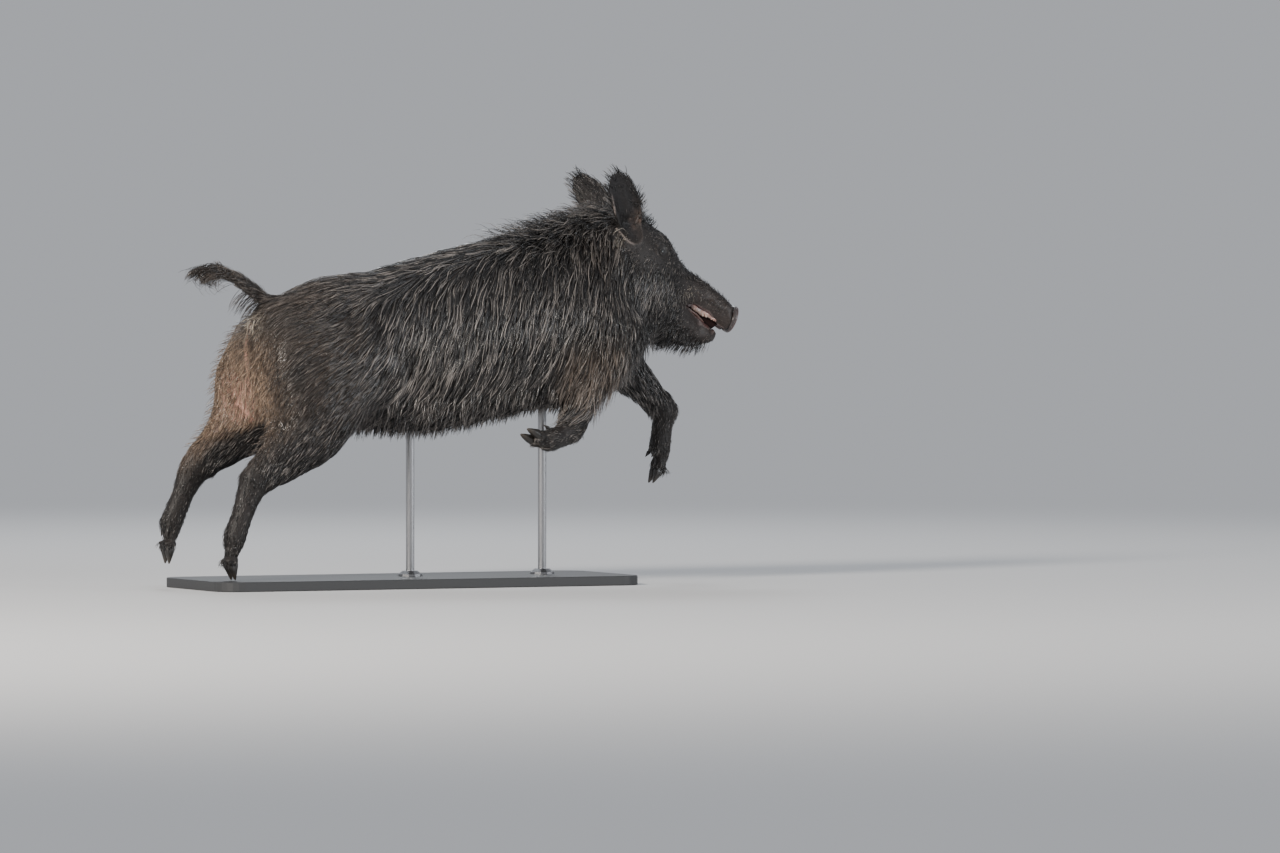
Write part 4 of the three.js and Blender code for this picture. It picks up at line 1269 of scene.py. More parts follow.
def growHair(name, area, plan, crowd=None):
    # area is a share for each skin vertex; crowd replaces the hairs for each square metre
    thick = density if crowd is None else np.full(len(points), crowd)
    local = (area * thick)[corners].mean(axis=1) * faceArea

    def measured(key, values):
        # the plan's own measure, or else the skin's
        return onFaces(values, face, shares) if plan.get(key) is None else np.full(count, plan[key])

    count = int(local.sum() * (1))
    face, shares = scattered(local, count)
    roots, ups, lies = (onFaces(values, face, shares) for values in (points, normals, flow))
    ups, lies = unit(ups), unit(lies)
    luck = dice.random((count, 4))
    reach = measured("reach", length) * varied("reach", luck[:, 0]) * plan["longer"]
    wide = measured("wide", width) * varied("width", luck[:, 2]) * plan["wider"]
    wide = wide * 1
    if "stand" in plan:
        paths, frames = freeHairs(roots, ups, lies, plan, reach)
    else:
        rise = onFaces(depth, face, shares) * varied("rise", luck[:, 1]) * plan["higher"]
        paths, frames = layHairs(roots, ups, lies, plan, reach, rise)
    lock, lockLuck = locksOf(roots, plan["lock"])
    pull = np.clip(plan["pull"] * varied("pull", luck[:, 3]), 0, mostPull)
    paths = drawnTogether(paths, lock, pull, plan["power"])
    colours = hairColour(roots, ups, dice.random((count, 3)), np.clip(lockLuck + plan["light"], 0, 1))
    spread = unwrapped(roots, lies.mean(axis=0) + np.array([1e-3, 0, 0]))
    piece = spikes(name, paths, frames, wide, colours, spread)
    piece.data.materials.append(hair)
    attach(piece, "root")
    coatCount[name] = len(piece.data.polygons)


def laid(name, area, crowd=None, **changes):
    growHair(name, area, {**layPlan, **changes}, crowd)


def free(name, area, crowd=None, **changes):
    growHair(name, area, {**freePlan, **changes}, crowd)


x, y, z = points.T
halves = {"left": (y >= 0).astype(float), "right": (y < 0).astype(float)}
body = inParts("trunk", "neck") + (part >= len(fleshNodes) + 2)
foreSplit = trunkLow[0] + 0.62
chestSplit = neckLow[0] - 0.015
bare = 1 - 0.72 * markings(points, normals)[2]
rumpArea = body * (x < rumpStart - 0.03) * bare
flankArea = body * (x >= rumpStart - 0.03) * (x < foreSplit)
shoulderArea = body * (x >= foreSplit) * (x < chestSplit)
neckArea = body * (x >= chestSplit)
legMask = inParts(*("leg_" + name for name in legNames)) * bare
footMask = inParts(*("foot_" + name for name in legNames))
fore = (x > -0.1).astype(float)
sideways = ramp(np.abs(normals[:, 1]), 0.25, 0.6)

bodyLie = {"steps": 4, "lock": 0.0125, "pull": 0.88, "wave": 0.22, "waves": 0.8, "stray": 0.08}
for sideName, half in halves.items():
    laid("coat_rump_" + sideName, rumpArea * half, lock=0.008, pull=0.75, wave=0.16, stray=0.07)
    laid("coat_flank_" + sideName, flankArea * half, **bodyLie)
    laid("coat_shoulder_" + sideName, shoulderArea * half, **bodyLie)
    laid("coat_neck_" + sideName, neckArea * half, **bodyLie)
    laid("coat_thigh_" + sideName, legMask * (1 - fore) * half, lock=0.008, pull=0.65, wave=0.18)
    free("coat_face_" + sideName, face * (1 - cheek) * half, steps=2, stand=0.26, settle=0.22, stray=0.2,
         lock=0.0065, pull=0.55, light=0.16)
    onCheek = face * cheek + 0.25 * neckArea * ramp(x - headLow[0], -0.05, 0)
    laid("coat_cheek_" + sideName, onCheek * half, steps=4, lock=0.0085, pull=0.82, wave=0.28,
         waves=0.8, light=0.10)
laid("coat_cheek_strands", face * cheek * sideways, 1.3e4, steps=5, longer=1.15, higher=1.5, wider=0.9,
     wave=0.32, lock=0.009, pull=0.7, light=0.60)
laid("coat_fore_legs", legMask * fore, lock=0.008, pull=0.6, wave=0.2)
free("coat_fore_feet", footMask * fore, steps=2, stand=0.22, settle=0.3, lock=0.007, pull=0.4)
free("coat_hind_feet", footMask * (1 - fore), steps=2, stand=0.22, settle=0.3, lock=0.007, pull=0.4)
print("short coat", sum(coatCount.values()))

# longer, lighter strands over the body, each a few hairs stuck together by the wet
longArea = body * sideways * ramp(x, rumpEnd, rumpStart) * (1 - 0.6 * bellySide)
laid("coat_strands", longArea, 0.38e4, steps=7, longer=1.45, higher=1.35, wider=1.1, wave=0.26, waves=1.0,
     lift=0.3, lock=0.013, pull=0.7, light=0.40)
laid("coat_rump_strands", (rumpArea + legMask * (1 - fore)) * sideways, 0.60e4, longer=1.2, higher=1.3,
     wider=1.1, wave=0.18, stray=0.06, lock=0.010, pull=0.5, light=0.34)

# fringes that hang or stand free of the body
under = ramp(-normals[:, 2], 0.30, 0.75)
bellyFringe = body * under * ramp(x - trunkLow[0], 0.24, 0.32)
bellyFringe *= ramp(x, neckHigh[0] - 0.02, neckLow[0])
free("coat_belly_fringe", bellyFringe, 1.3e4, reach=0.045, wide=0.0023, alongLie=0.3, stand=0.35,
     push=(-0.15, 0, -0.7), lastLie=0, lastPush=(-0.30, 0, -1.0), stray=0.12, lock=0.012, pull=0.88,
     light=0.12)
chest = body * ramp(x - neckLow[0], 0.06, 0.12) * ramp(z, 0.76, 0.70)
free("coat_chest_fringe", chest, 1.5e4, reach=0.070, wide=0.0021, alongLie=0.8, stand=0.35,
     lastLie=0, lastPush=(-0.15, 0, -1.0), stray=0.14, lock=0.011, pull=0.8, light=0.15)
wisps = body * ramp(-normals[:, 2], 0.05, 0.5) * bump(x, neckLow[0] + 0.15, 0.055) * ramp(z, 0.70, 0.64)
free("coat_chest_wisps", wisps, 0.9e4, reach=0.095, wide=0.0018, steps=5, alongLie=0.4, stand=0.3,
     push=(0, 0, -0.6), lastLie=0, lastPush=(-0.40, 0, -1.0), stray=0.12, wave=0.2, lock=0.015,
     pull=0.9, light=0.2)
chin = inParts("lower_jaw") + inParts("head") * ramp(x - mouthCorner[0], -0.05, -0.08)
chin = (chin + 0.6 * neckArea * ramp(x - headLow[0], -0.06, 0)) * ramp(-normals[:, 2], 0.05, 0.5)
chin *= ramp(z, 0.76, 0.72) * ramp(x - jawHigh[0], -0.012, -0.045) * (1 - inMouth)
free("coat_chin_fringe", chin, 2.4e4, reach=0.040, wide=0.0016, alongLie=0.7, stand=0.55,
     lastLie=0.1, lastPush=(-0.35, 0, -1.0), stray=0.14, lock=0.009, pull=0.75, light=0.05)
maneStand = mane * ramp(normals[:, 2], 0.35, 0.75) * ramp(x - headLow[0], 0.06, 0.01)
maneStand *= 0.3 + 0.7 * ramp(x, 0.18, 0.28)
free("coat_mane", maneStand, 3.0e4, reach=0.088, wide=0.0018, steps=4, alongLie=0.8, stand=1.30,
     lastLie=0.9, settle=0.12, lastPush=(-0.5, 0, -0.1), stray=0.30, wave=0.3, lock=0.012, pull=0.7,
     light=0.15)
loose = body * ramp(normals[:, 2], 0.3, 0.7) * ramp(x, 0.02, 0.16) * ramp(x - headLow[0], 0, -0.06)
free("coat_loose", loose, 0.40e4, reach=0.066, wide=0.0014, steps=4, alongLie=0.9, stand=0.62,
     settle=0.15, stray=0.25, wave=0.35, lock=0.012, pull=0.6, light=0.35)

# ears: short hair behind, a fringe round the tip and the rear edge, little inside
inHollow = ramp(earFaces, 0.15, 0.5)
edges = ramp(np.abs(earAhead), 0.35, 0.7) * ramp(earUp, 0.20, 0.45)
rim = bump(earFaces, 0.0, 0.55) * np.clip(ramp(earUp, 0.62, 0.85) + edges, 0, 1)
free("coat_ears", isEar * (1 - 0.88 * inHollow), reach=0.014, stand=0.28, settle=0.15, lock=0.006, pull=0.4)
free("coat_ear_fringe", isEar * rim, 20e4, reach=0.038, wide=0.0015, steps=4, alongLie=0.9, stand=0.45,
     push=(-0.15, 0, 0.0), lastLie=0.3, lastPush=(-0.8, 0, 0.15), stray=0.26, lock=0.012, pull=0.88)
earFront = isEar * ramp(earAhead, 0.55, 0.85) * ramp(earUp, 0.65, 0.45) * (1 - 0.6 * inHollow)
crown = inParts("head") * bump(x, earHigh[0] - 0.005, 0.022) * ramp(z, 0.93, 0.955)
crown *= bump(np.abs(y), 0.06, 0.02)
free("coat_ear_front", earFront + crown, 7e4, reach=0.034, wide=0.0015, steps=3, alongLie=0.2, stand=0.7,
     push=(0.35, 0, 0.45), lastLie=0, lastPush=(0.55, 0, 0.75), stray=0.25, lock=0.010, pull=0.85)
behindEar = inParts("neck") * bump(x, earLow[0] - 0.01, 0.02) * ramp(z - earLow[2], -0.01, 0.01)
bases = isEar * ramp(earUp, 0.35, 0.1) * (1 - 0.7 * inHollow) + behindEar
free("coat_ear_base", bases, 3e4, reach=0.026, wide=0.0014, stand=0.4, settle=0.1, stray=0.25,
     lock=0.008, pull=0.5, light=0.15)

# bristles that stand out on the head
browSpot = bump(x, eyeX - 0.012, 0.010) * ramp(np.abs(y), 0.045, 0.030)
browSpot += 0.4 * bump(x, headLow[0] + 0.055, 0.012) * ramp(np.abs(y), 0.04, 0.02)
browSpot *= face * ramp(normals[:, 2], 0.2, 0.5)
free("coat_brow", browSpot, 4.5e4, reach=0.029, wide=0.0016, alongLie=0.1, stand=1.0,
     push=(0.35, 0, 0.1), lastLie=0, lastPush=(0.9, 0, 0.75), stray=0.25, lock=0.009, pull=0.9)
snoutTop = inParts("head") * ramp(normals[:, 2], 0.3, 0.65) * snout * ramp(discGap, 0.040, 0.048)
free("coat_snout_bristles", snoutTop, 4.2e4, reach=0.018, wide=0.0014, alongLie=0.9, stand=0.95,
     settle=0.1, stray=0.25, lock=0.006, pull=0.45, light=0.1)
whiskerSpot = bump(x, mouthCorner[0] - 0.005, 0.030) * bump(z, mouthCorner[2] + 0.022, 0.016)
whiskerSpot *= face * (1 - inMouth) * ramp(gumGap, 0.010, 0.016)
free("coat_whiskers", whiskerSpot, 4.0e4, reach=0.020, wide=0.0010, steps=4, alongLie=0.5, stand=0.5,
     push=(0.2, 0, -0.5), settle=0.1, lastPush=(0.3, 0, -0.9), stray=0.2, wave=0.2, lock=0.005,
     pull=0.3, light=0.7)

# tail: laid hair, long hairs under its root, and a curved tassel at its end
isTail = inParts("tail")
free("coat_tail", isTail, 11e4, stand=0.48, settle=0.22, reach=0.034, lock=0.008, pull=0.6, light=0.16)
tailRoot = isTail * ramp(-normals[:, 2], -0.1, 0.5) * ramp(x - tailLow[0], 0.16, 0.21)
free("coat_tail_root", tailRoot, 3.4e4, reach=0.080, wide=0.0014, steps=5, alongLie=0.5, stand=0.7,
     push=(-0.2, 0, -0.3), lastLie=0, lastPush=(-0.45, 0, -0.95), stray=0.14, lock=0.012, pull=0.8)
tassel = isTail * ramp(x - tailCut, 0.030, 0.005)
free("coat_tassel", tassel, 11e4, reach=0.098, wide=0.0013, steps=6, alongLie=1.0, stand=0.20,
     push=(-0.6, 0, 0.1), midPush=(-1.0, 0, 0.05), lastLie=0, lastPush=(-0.5, 0, -0.7), stray=0.13,
     lock=0.012, pull=0.85, wave=0.10)
free("coat_tassel_curl", tassel, 4e4, reach=0.088, wide=0.0013, steps=8, alongLie=1.0, stand=0.25,
     push=(-0.7, 0, 0.1), midPush=(-0.9, 0, -0.55), lastLie=0, lastPush=(0.95, 0, -0.25), stray=0.10,
     lock=0.010, pull=0.8)

# short hair that stands off the back of the thighs
thighRear = (legMask * (1 - fore) + rumpArea) * ramp(-normals[:, 0], 0.45, 0.8)
thighRear *= ramp(z, 0.30, 0.36) * ramp(z, 0.74, 0.68)
free("coat_thigh_edge", thighRear, 1.4e4, reach=0.034, wide=0.0015, alongLie=0.6, stand=0.85,
     lastLie=0.8, push=(-0.2, 0, 0.1), lastPush=(-0.5, 0, 0), stray=0.2, lock=0.008, pull=0.6)
for name, count in coatCount.items():
    print(name, count)
print("coat triangles", sum(coatCount.values()))


# Pieces of the head. Each is a closed grid: rings of points from one pole to the other.

def ringSurface(name, rings, poles=None):
    # rings is (number of rings, points in a ring, 3); triangles join them and close the two poles
    count, around = rings.shape[:2]
    poles = [rings[0].mean(0), rings[-1].mean(0)] if poles is None else poles
    spots = np.concatenate([rings.reshape(-1, 3), poles])
    r, c = np.meshgrid(np.arange(count - 1), np.arange(around), indexing="ij")
    here, there = r * around + c, r * around + (c + 1) % around
    up, upThere = here + around, there + around
    quads = np.stack([here, there, upThere, up], axis=-1).reshape(-1, 4)
    faces = np.concatenate([quads[:, [0, 1, 2]], quads[:, [0, 2, 3]]])
    ring = np.arange(around)
    nextOne = (ring + 1) % around
    first = np.stack([np.full(around, count * around), nextOne, ring], axis=1)
    final = (count - 1) * around
    last = np.stack([np.full(around, count * around + 1), final + ring, final + nextOne], axis=1)
    mesh = meshFromArrays(name, spots, np.concatenate([faces, first, last]))
    work = bmesh.new()
    work.from_mesh(mesh)
    bmesh.ops.recalc_face_normals(work, faces=work.faces)
    work.to_mesh(mesh)
    work.free()
    return newObject(name, mesh)


def rideAs(piece, slot, material, *replaced):
    piece.data.materials.clear()
    piece.data.materials.append(material)
    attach(piece, "root")
    if replaced:
        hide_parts(*replaced)


def paintRings(piece, colours, poleColour):
    storeColour(piece.data, "hide", np.concatenate([colours.reshape(-1, 3), [poleColour] * 2]))


def blunted(s, half=0.505, power=6, least=0.01, middle=0.5):
    # how wide a rounded bar is along its length: the root of one less a high power of the distance
    return np.sqrt(np.clip(1 - ((s - middle) / half) ** power, least, 1))


def eyeMaterial():
    material, tree, shader = newMaterial("wetEye", {"Coat Weight": 1.0, "Coat Roughness": 0.02})
    rings = colourRamp(tree, attribute(tree, "fromPupil", "Fac"), (0.0, 0.002, 0.002, 0.002),
                       (0.17, 0.002, 0.002, 0.002), (0.21, 0.030, 0.014, 0.006), (0.40, 0.022, 0.010, 0.005),
                       (0.45, 0.004, 0.003, 0.003), (0.60, 0.055, 0.038, 0.032))
    speckled(tree, shader, 900.0, 0.8, 0.08, rings)
    return material


def makeEye(side, material):
    # a ball whose front bulges as a cornea: its radius grows by a bell round the way it looks
    middle, out, ahead, above = eyeFrame[side]
    sides, bulge = 48, 0.055
    angle = np.linspace(0.03, math.pi - 0.03, 44)[:, None]
    turn = np.linspace(0, 2 * math.pi, sides, endpoint=False)[None]
    radius = eyeRadius * (1 + bulge * bump(angle, 0, 0.62))
    around = np.cos(turn)[..., None] * ahead + np.sin(turn)[..., None] * above
    rings = middle + radius[..., None] * (np.cos(angle)[..., None] * out + np.sin(angle)[..., None] * around)
    poles = [middle + out * eyeRadius * (1 + bulge), middle - out * eyeRadius]
    piece = ringSurface("eyeball_" + side, rings, poles)
    storeValue(piece.data, "fromPupil", np.append(np.repeat(angle[:, 0] / math.pi, sides), [0, 1]))
    rideAs(piece, "eye", material, "eye_" + side)


eyeball = eyeMaterial()
for side in eyeMiddle:
    makeEye(side, eyeball)

discPlan = {
    "tilt": 20.0,  # degrees that it looks down
    "halfWidth": 0.0345,
    "halfHeight": 0.0382,
    "thick": 0.0128,
    "rim": 0.0022,
    "nostrilAside": 0.43,  # shares of the half width and height
    "nostrilAbove": 0.02,
    "nostrilWide": 0.20,
    "nostrilHigh": 0.29,
    "nostrilDeep": 0.0105,
    "nostrilRim": 0.0013,
    "notch": 0.035,
    "dome": 0.0012,
    "groove": 0.0009,
    "wrinkles": 0.0005,
}


def discMaterial():
    material, tree, shader = newMaterial("wetSnoutLeather", {"Coat Weight": 0.55, "Coat Roughness": 0.16})
    inputs = {"Vector": objectPlace(tree), "Scale": 620}
    cells = put(tree, "ShaderNodeTexVoronoi", inputs, feature="DISTANCE_TO_EDGE").outputs["Distance"]
    cracks = mapped(tree, cells, 0.0, 0.12)
    tone = colourRamp(tree, cracks, (0.0, 0.012, 0.009, 0.009), (1.0, 0.042, 0.029, 0.028))
    tone = blended(tree, attribute(tree, "pinkness", "Fac"), tone, (0.20, 0.105, 0.095, 1))
    speckled(tree, shader, 150.0, 0.9, 0.34, tone)
    bumped(tree, shader, cracks, 0.0004, 0.8)
    return material


def makeDisc():
    # a flat drum with a rolled rim; its face is a height over the share of the way to the rim
    plan = discPlan
    tilt = math.radians(plan["tilt"])
    out = np.array([math.cos(tilt), 0, -math.sin(tilt)])
    above = np.array([math.sin(tilt), 0, math.cos(tilt)])
    aside = np.array([0, 1, 0])
    around = 120
    turn = np.linspace(0, 2 * math.pi, around, endpoint=False)[None]
    outline = 1 - plan["notch"] * bump(np.sin(turn), 1, 0.10) - 0.015 * bump(np.sin(turn), -1, 0.2)
    back = np.linspace(0.05, 0.80, 8)
    wall = [0.90, 0.955, 0.975, 0.985, 0.995, 1.0]
    wallRise = [0.02, 0.12, 0.3, 0.5, 0.7, 0.86]
    front = np.linspace(0.985, 0.012, 64)
    share = np.concatenate([back, wall, front])[:, None] * outline
    rise = np.concatenate([0 * back, wallRise, 0 * front + 1])[:, None]
    a, b = share * np.cos(turn), share * np.sin(turn)
    height = plan["thick"] * (rise - 0.5)
    face = np.concatenate([np.zeros(len(back) + len(wall)), ramp(np.arange(len(front)), 0, 5)])[:, None]
    shape = plan["rim"] * (bump(share, 0.90, 0.09) - 0.9) + plan["dome"] * bump(share, 0.0, 0.4)
    pits = np.zeros_like(a)
    for sign in (-1, 1):
        p = (a - sign * plan["nostrilAside"] + 0.10 * sign * b) / plan["nostrilWide"]
        q = (b - plan["nostrilAbove"]) / plan["nostrilHigh"]
        ring = np.hypot(p, q)
        pits += plan["nostrilDeep"] * ramp(ring, 1.0, 0.62)
        shape += plan["nostrilRim"] * bump(ring, 1.28, 0.22)
    shape -= plan["groove"] * bump(a, 0, 0.035) * ramp(b, 0.1, -0.3)
    shape += plan["wrinkles"] * np.sin(b * 26 + 3 * np.abs(a)) * ramp(b, 0.25, 0.6)
    height = height + face * (shape - pits)
    middle = discMiddle + 0.0015 * (out - above)
    spots = middle + (a * plan["halfWidth"])[..., None] * aside + (b * plan["halfHeight"])[..., None] * above
    rings = spots + height[..., None] * out
    piece = ringSurface("snout_leather", rings)
    frontRim = ramp(rise, 0.62, 0.95) * bump(share, 0.965, 0.045)
    pink = frontRim * (0.45 + 0.4 * np.clip(-b, 0, 1)) + 0.08 * face * (1 - ramp(pits, 0, 0.004))
    storeValue(piece.data, "pinkness", np.append(np.clip(pink, 0, 1).ravel(), [0, 0.2]))
    rideAs(piece, "rhinarium", discMaterial(), "snout_disc")


makeDisc()


def mouthMaterial():
    # colours from its attribute, wet and finely uneven
    material, tree, shader = newMaterial("wetMouth", {
        "Coat Weight": 0.5,
        "Coat Roughness": 0.10,
        "Subsurface Weight": 0.08,
        "Subsurface Radius": (0.004, 0.0015, 0.001),
    })
    speckled(tree, shader, 420.0, 0.8, 0.38, attribute(tree, "hide"), 0.0007)
    return material


def liningMaterial():
    # the back of the mouth is in the shade: dark, with no film of water
    material, tree, shader = newMaterial("mouthShade", {"Specular IOR Level": 0.1})
    speckled(tree, shader, 420.0, 0.6, 0.85, attribute(tree, "hide"), 0.0005)
    return material


wetFlesh = mouthMaterial()
mouthPlan = {
    "liningHalfWidth": 0.0200,
    "tongueLength": 0.096,
    "tongueHalfWidth": 0.0235,
    "tongueHalfHeight": 0.0070,
    "tongueGroove": 0.0022,
    "buds": 0.00035,
    "gumFall": 0.0058,
    "gumBulge": 0.0115,  # more fall near its middle
    "gumHalfWidth": 0.0255,
    "gumArch": 0.006,
    "gumRidges": 0.0011,
    "gumBeats": 0.0026,
    "toothHalfWidth": 0.0026,
    "toothHalfDepth": 0.0023,
    "toothLean": (0.55, 0, 0.84),
    "teeth": ((-0.0085, 0.8), (-0.003, 1.0), (0.003, 1.0), (0.0085, 0.8)),  # place across, height
}
pink = (0.44, 0.255, 0.205)
# painted shade: the mouth's flesh where it lies in shade, and darker shade still
fleshInShade = (0.038, 0.016, 0.014)
dark = (0.010, 0.006, 0.006)
white = (0.50, 0.43, 0.36)


def gapOfMouth():
    # the height of the mouth's roof and floor along it, from the skin of both jaws near the middle
    closest = 12  # how many points of the skin each mean takes
    stations = np.linspace(mouthCorner[0] + 0.004, jawHigh[0] - 0.010, 24)
    roof, ground = [], []
    nearMiddle = np.abs(points[:, 1]) < 0.022
    headSpots = points[nearMiddle & (inParts("head") > 0) & (normals[:, 2] < -0.2)]
    jawSpots = points[nearMiddle & (inParts("lower_jaw") > 0) & (normals[:, 2] > 0.2)]
    for station in stations:
        for spots, heights in ((headSpots, roof), (jawSpots, ground)):
            heights.append(np.mean(spots[np.argsort(np.abs(spots[:, 0] - station))[:closest], 2]))
    return stations, np.array(roof), np.array(ground)


upwards = np.array([0, 0, 1.0])


def lofted(middle, up, halfWidth, halfHeight, flat=2.4, around=40):
    # rings along a line: each section is a rounded box of its own half width and height
    turn = np.linspace(0, 2 * math.pi, around, endpoint=False)[None]
    cos, sin = np.cos(turn), np.sin(turn)
    a = np.sign(cos) * np.abs(cos) ** (2 / flat) * np.reshape(halfWidth, (-1, 1))
    b = np.sign(sin) * np.abs(sin) ** (2 / flat) * np.reshape(halfHeight, (-1, 1))
    rings = middle[:, None] + a[..., None] * np.array([0, 1.0, 0])
    return rings + b[..., None] * np.reshape(up, (-1, 1, 3)), a, b


stations, roof, ground = gapOfMouth()


def makeLining():
    # the back of the mouth, painted dark as shade: from roof to floor, its lower edge rising towards the
    # front
    s = np.linspace(-0.25, 1, 60)
    x = stations[0] + s * (stations[-1] - stations[0] + 0.004)
    high = np.interp(x, stations, roof) + 0.006
    low = np.interp(x, stations, ground) - 0.006
    low = low + 0.30 * (high - low) * ramp(s, 0.80, 1.05)
    high = high - 0.55 * (high - low) * ramp(s, 0.88, 1.0)
    middle = np.stack([x, 0 * x, (high + low) / 2], axis=1)
    halfHeight = np.maximum((high - low) / 2, 0.003) * ramp(s, -0.30, -0.1)
    halfWidth = (mouthPlan["liningHalfWidth"] - 0.009 * ramp(s, 0.0, 0.7)) * blunted(s, 0.655, middle=0.35)
    rings, a, b = lofted(middle, upwards, halfWidth, halfHeight)
    level = b / halfHeight[:, None]
    rings[..., 0] += 0.010 * ramp(s, 0.75, 1.0)[:, None] * level
    piece = ringSurface("mouth_lining", rings)
    # painted shade: darkest towards the floor of the mouth
    paintRings(piece, mix(dark, fleshInShade, 0.5 * ramp(level, -0.9, 0.6)), dark)
    rideAs(piece, "gum", liningMaterial())


def makeTongue():
    # lies on the floor of the mouth: its section is broad and low, with a groove along the middle
    s = np.linspace(0, 1, 60)
    x = stations[0] - 0.006 + s * mouthPlan["tongueLength"]
    floorHere = np.interp(x, stations, ground)
    gap = np.interp(x, stations, roof) - floorHere
    lift = 0.36 * gap * ramp(s, 1.3, 0.3) + 0.0005
    middle = np.stack([x, 0 * x, floorHere + lift], axis=1)
    taper = blunted(s, 0.605, 4, 0.003, 0.4)
    halfWidth = (mouthPlan["tongueHalfWidth"] - 0.008 * s) * taper
    halfHeight = mouthPlan["tongueHalfHeight"] * taper * (1 - 0.3 * s)
    up = unit(np.stack([-np.gradient(middle[:, 2]), 0 * x, np.gradient(x)], axis=1))
    rings, a, b = lofted(middle, up, halfWidth, halfHeight)
    top = ramp(b, 0, 0.003)
    groove = mouthPlan["tongueGroove"] * bump(a, 0, 0.0035) * top
    buds = mouthPlan["buds"] * np.sin(a * 2600) * np.sin(x[:, None] * 2300) * top
    rings = rings + (buds - groove)[..., None] * up[:, None]
    piece = ringSurface("tongue_flesh", rings)
    # painted light and shade: the tongue pinker towards the front, darker towards the back
    lit = np.broadcast_to(ramp(s, 0.25, 0.7)[:, None], a.shape)
    paintRings(piece, mix(fleshInShade, pink, 0.35 * lit), fleshInShade)
    rideAs(piece, "gum", wetFlesh, "tongue")


def makeGum():
    # the gum under the upper lip: two thick edges and ridges across the palate between them
    s = np.linspace(0, 1, 110)
    x = gumLow[0] + 0.003 + s * (gumHigh[0] - gumLow[0] - 0.008)
    high = np.interp(x, stations, roof) + 0.004
    fall = mouthPlan["gumFall"] + mouthPlan["gumBulge"] * bump(s, 0.42, 0.26)
    middle = np.stack([x, 0 * x, high - fall * 0.5], axis=1)
    taper = blunted(s) * (0.45 + 0.55 * ramp(s, 1.04, 0.74))
    halfWidth = (mouthPlan["gumHalfWidth"] - 0.004 * s) * np.sqrt(taper)
    rings, a, b = lofted(middle, upwards, halfWidth, fall * taper, 2.6, 80)
    side = np.abs(a) / np.maximum(halfWidth[:, None], 1e-5)
    below = ramp(b, 0, -0.004)
    beat = np.abs(np.sin(x[:, None] * 400 + 2.5 * sway(rings, 0.05)))
    arch = mouthPlan["gumArch"] * below * ramp(side, 0.85, 0.45)
    ridges = mouthPlan["gumRidges"] * np.sin(x[:, None] * 900 + 3 * side) * below * ramp(side, 0.8, 0.5)
    rings[..., 2] += arch + ridges - mouthPlan["gumBeats"] * beat * below * ramp(side, 0.75, 0.95)
    rings[..., 1] += 0.0012 * np.sign(a) * sway(rings, 0.02, 1)
    piece = ringSurface("palate", rings)
    # painted light and shade: the gum pink towards the front, darker towards the back
    lit = ramp(s, 0.20, 0.32)[:, None] * (0.75 + 0.25 * sway(rings, 0.03, 2))
    colours = mix(fleshInShade, pink, np.clip(lit, 0, 1))
    edgeHere = ramp(b, -0.002, -0.0045) * ramp(side, 0.70, 0.88) * lit
    # painted shade in the gaps between the whitish teeth along the edge
    colours = mix(colours, fleshInShade, 0.7 * np.clip(edgeHere * ramp(beat, 0.45, 0.15), 0, 1))
    colours = mix(colours, white, 0.85 * np.clip(edgeHere * ramp(beat, 0.50, 0.85), 0, 1))
    paintRings(piece, colours, fleshInShade)
    rideAs(piece, "gum", wetFlesh, "upper_gum")


def toothMaterial():
    material, tree, shader = newMaterial("ivory", {"Coat Weight": 0.6})
    stain = colourRamp(tree, attribute(tree, "alongHair", "Fac"), (0.0, 0.22, 0.13, 0.07),
                       (0.55, 0.58, 0.50, 0.38), (1.0, 0.66, 0.60, 0.50))
    speckled(tree, shader, 500.0, 0.5, 0.28, stain, 0.0002)
    return material


def makeTeeth():
    # four pegs in the tip of the jaw: each narrows to a worn edge and leans forward
    low, high = boxOf("lower_teeth")
    s = np.linspace(0, 1, 14)
    rings, values = [], []
    axis = unit(np.array(mouthPlan["toothLean"]))
    for across, tall in mouthPlan["teeth"]:
        root = np.array([low[0] + 0.004, across, low[2] + 0.001])
        middle = root + axis * (s * (high[2] - low[2]) * 1.12 * tall)[:, None]
        taper = blunted(s * 0.99, 1, least=0.03, middle=0)
        halfDepth = mouthPlan["toothHalfDepth"] * taper * (1 - 0.4 * s)
        halfWidth = mouthPlan["toothHalfWidth"] * taper
        ring, _, _ = lofted(middle, np.cross(axis, [0, 1.0, 0]), halfWidth, halfDepth, 2.6, 16)
        rings.append(ring)
        values.append(np.append(np.repeat(s, 16), [0, 1]))
    pieces = [ringSurface("peg", ring) for ring in rings]
    joined = joinedMesh("incisors", [piece.data for piece in pieces])
    joined.attributes.remove(joined.attributes["part"])
    for piece in pieces:
        bpy.data.objects.remove(piece)
    storeValue(joined, "alongHair", np.concatenate(values))
    rideAs(newObject("incisors", joined), "tooth", toothMaterial(), "lower_teeth")


def makeLowerGum():
    # a soft pad that the pegs stand in
    low, _ = boxOf("lower_teeth")
    s = np.linspace(0, 1, 24)
    middle = np.array([low[0] - 0.012, 0, low[2] + 0.0045]) + np.outer(s, [0.027, 0, -0.005])
    taper = blunted(s, power=4)
    pad, a, b = lofted(middle, upwards, 0.0112 * taper, 0.0050 * taper)
    pad[..., 2] += 0.0006 * np.sin(a * 1200)
    piece = ringSurface("lower_gum", pad)
    paintRings(piece, mix(pink, white, np.full(a.shape, 0.18)), pink)
    rideAs(piece, "gum", wetFlesh)


makeLining()
makeTongue()
makeGum()
makeTeeth()
makeLowerGum()
print("head pieces")


# Hooves and dewclaws: the solids rounded, then ringed with growth lines

hornPlan = {
    "cell": 0.0013,
    "growth": 0.0032,  # spacing of the growth lines
    "relief": 0.00022,
    "tuck": 0.0030,  # how far the top end goes in under the skin's edge
}


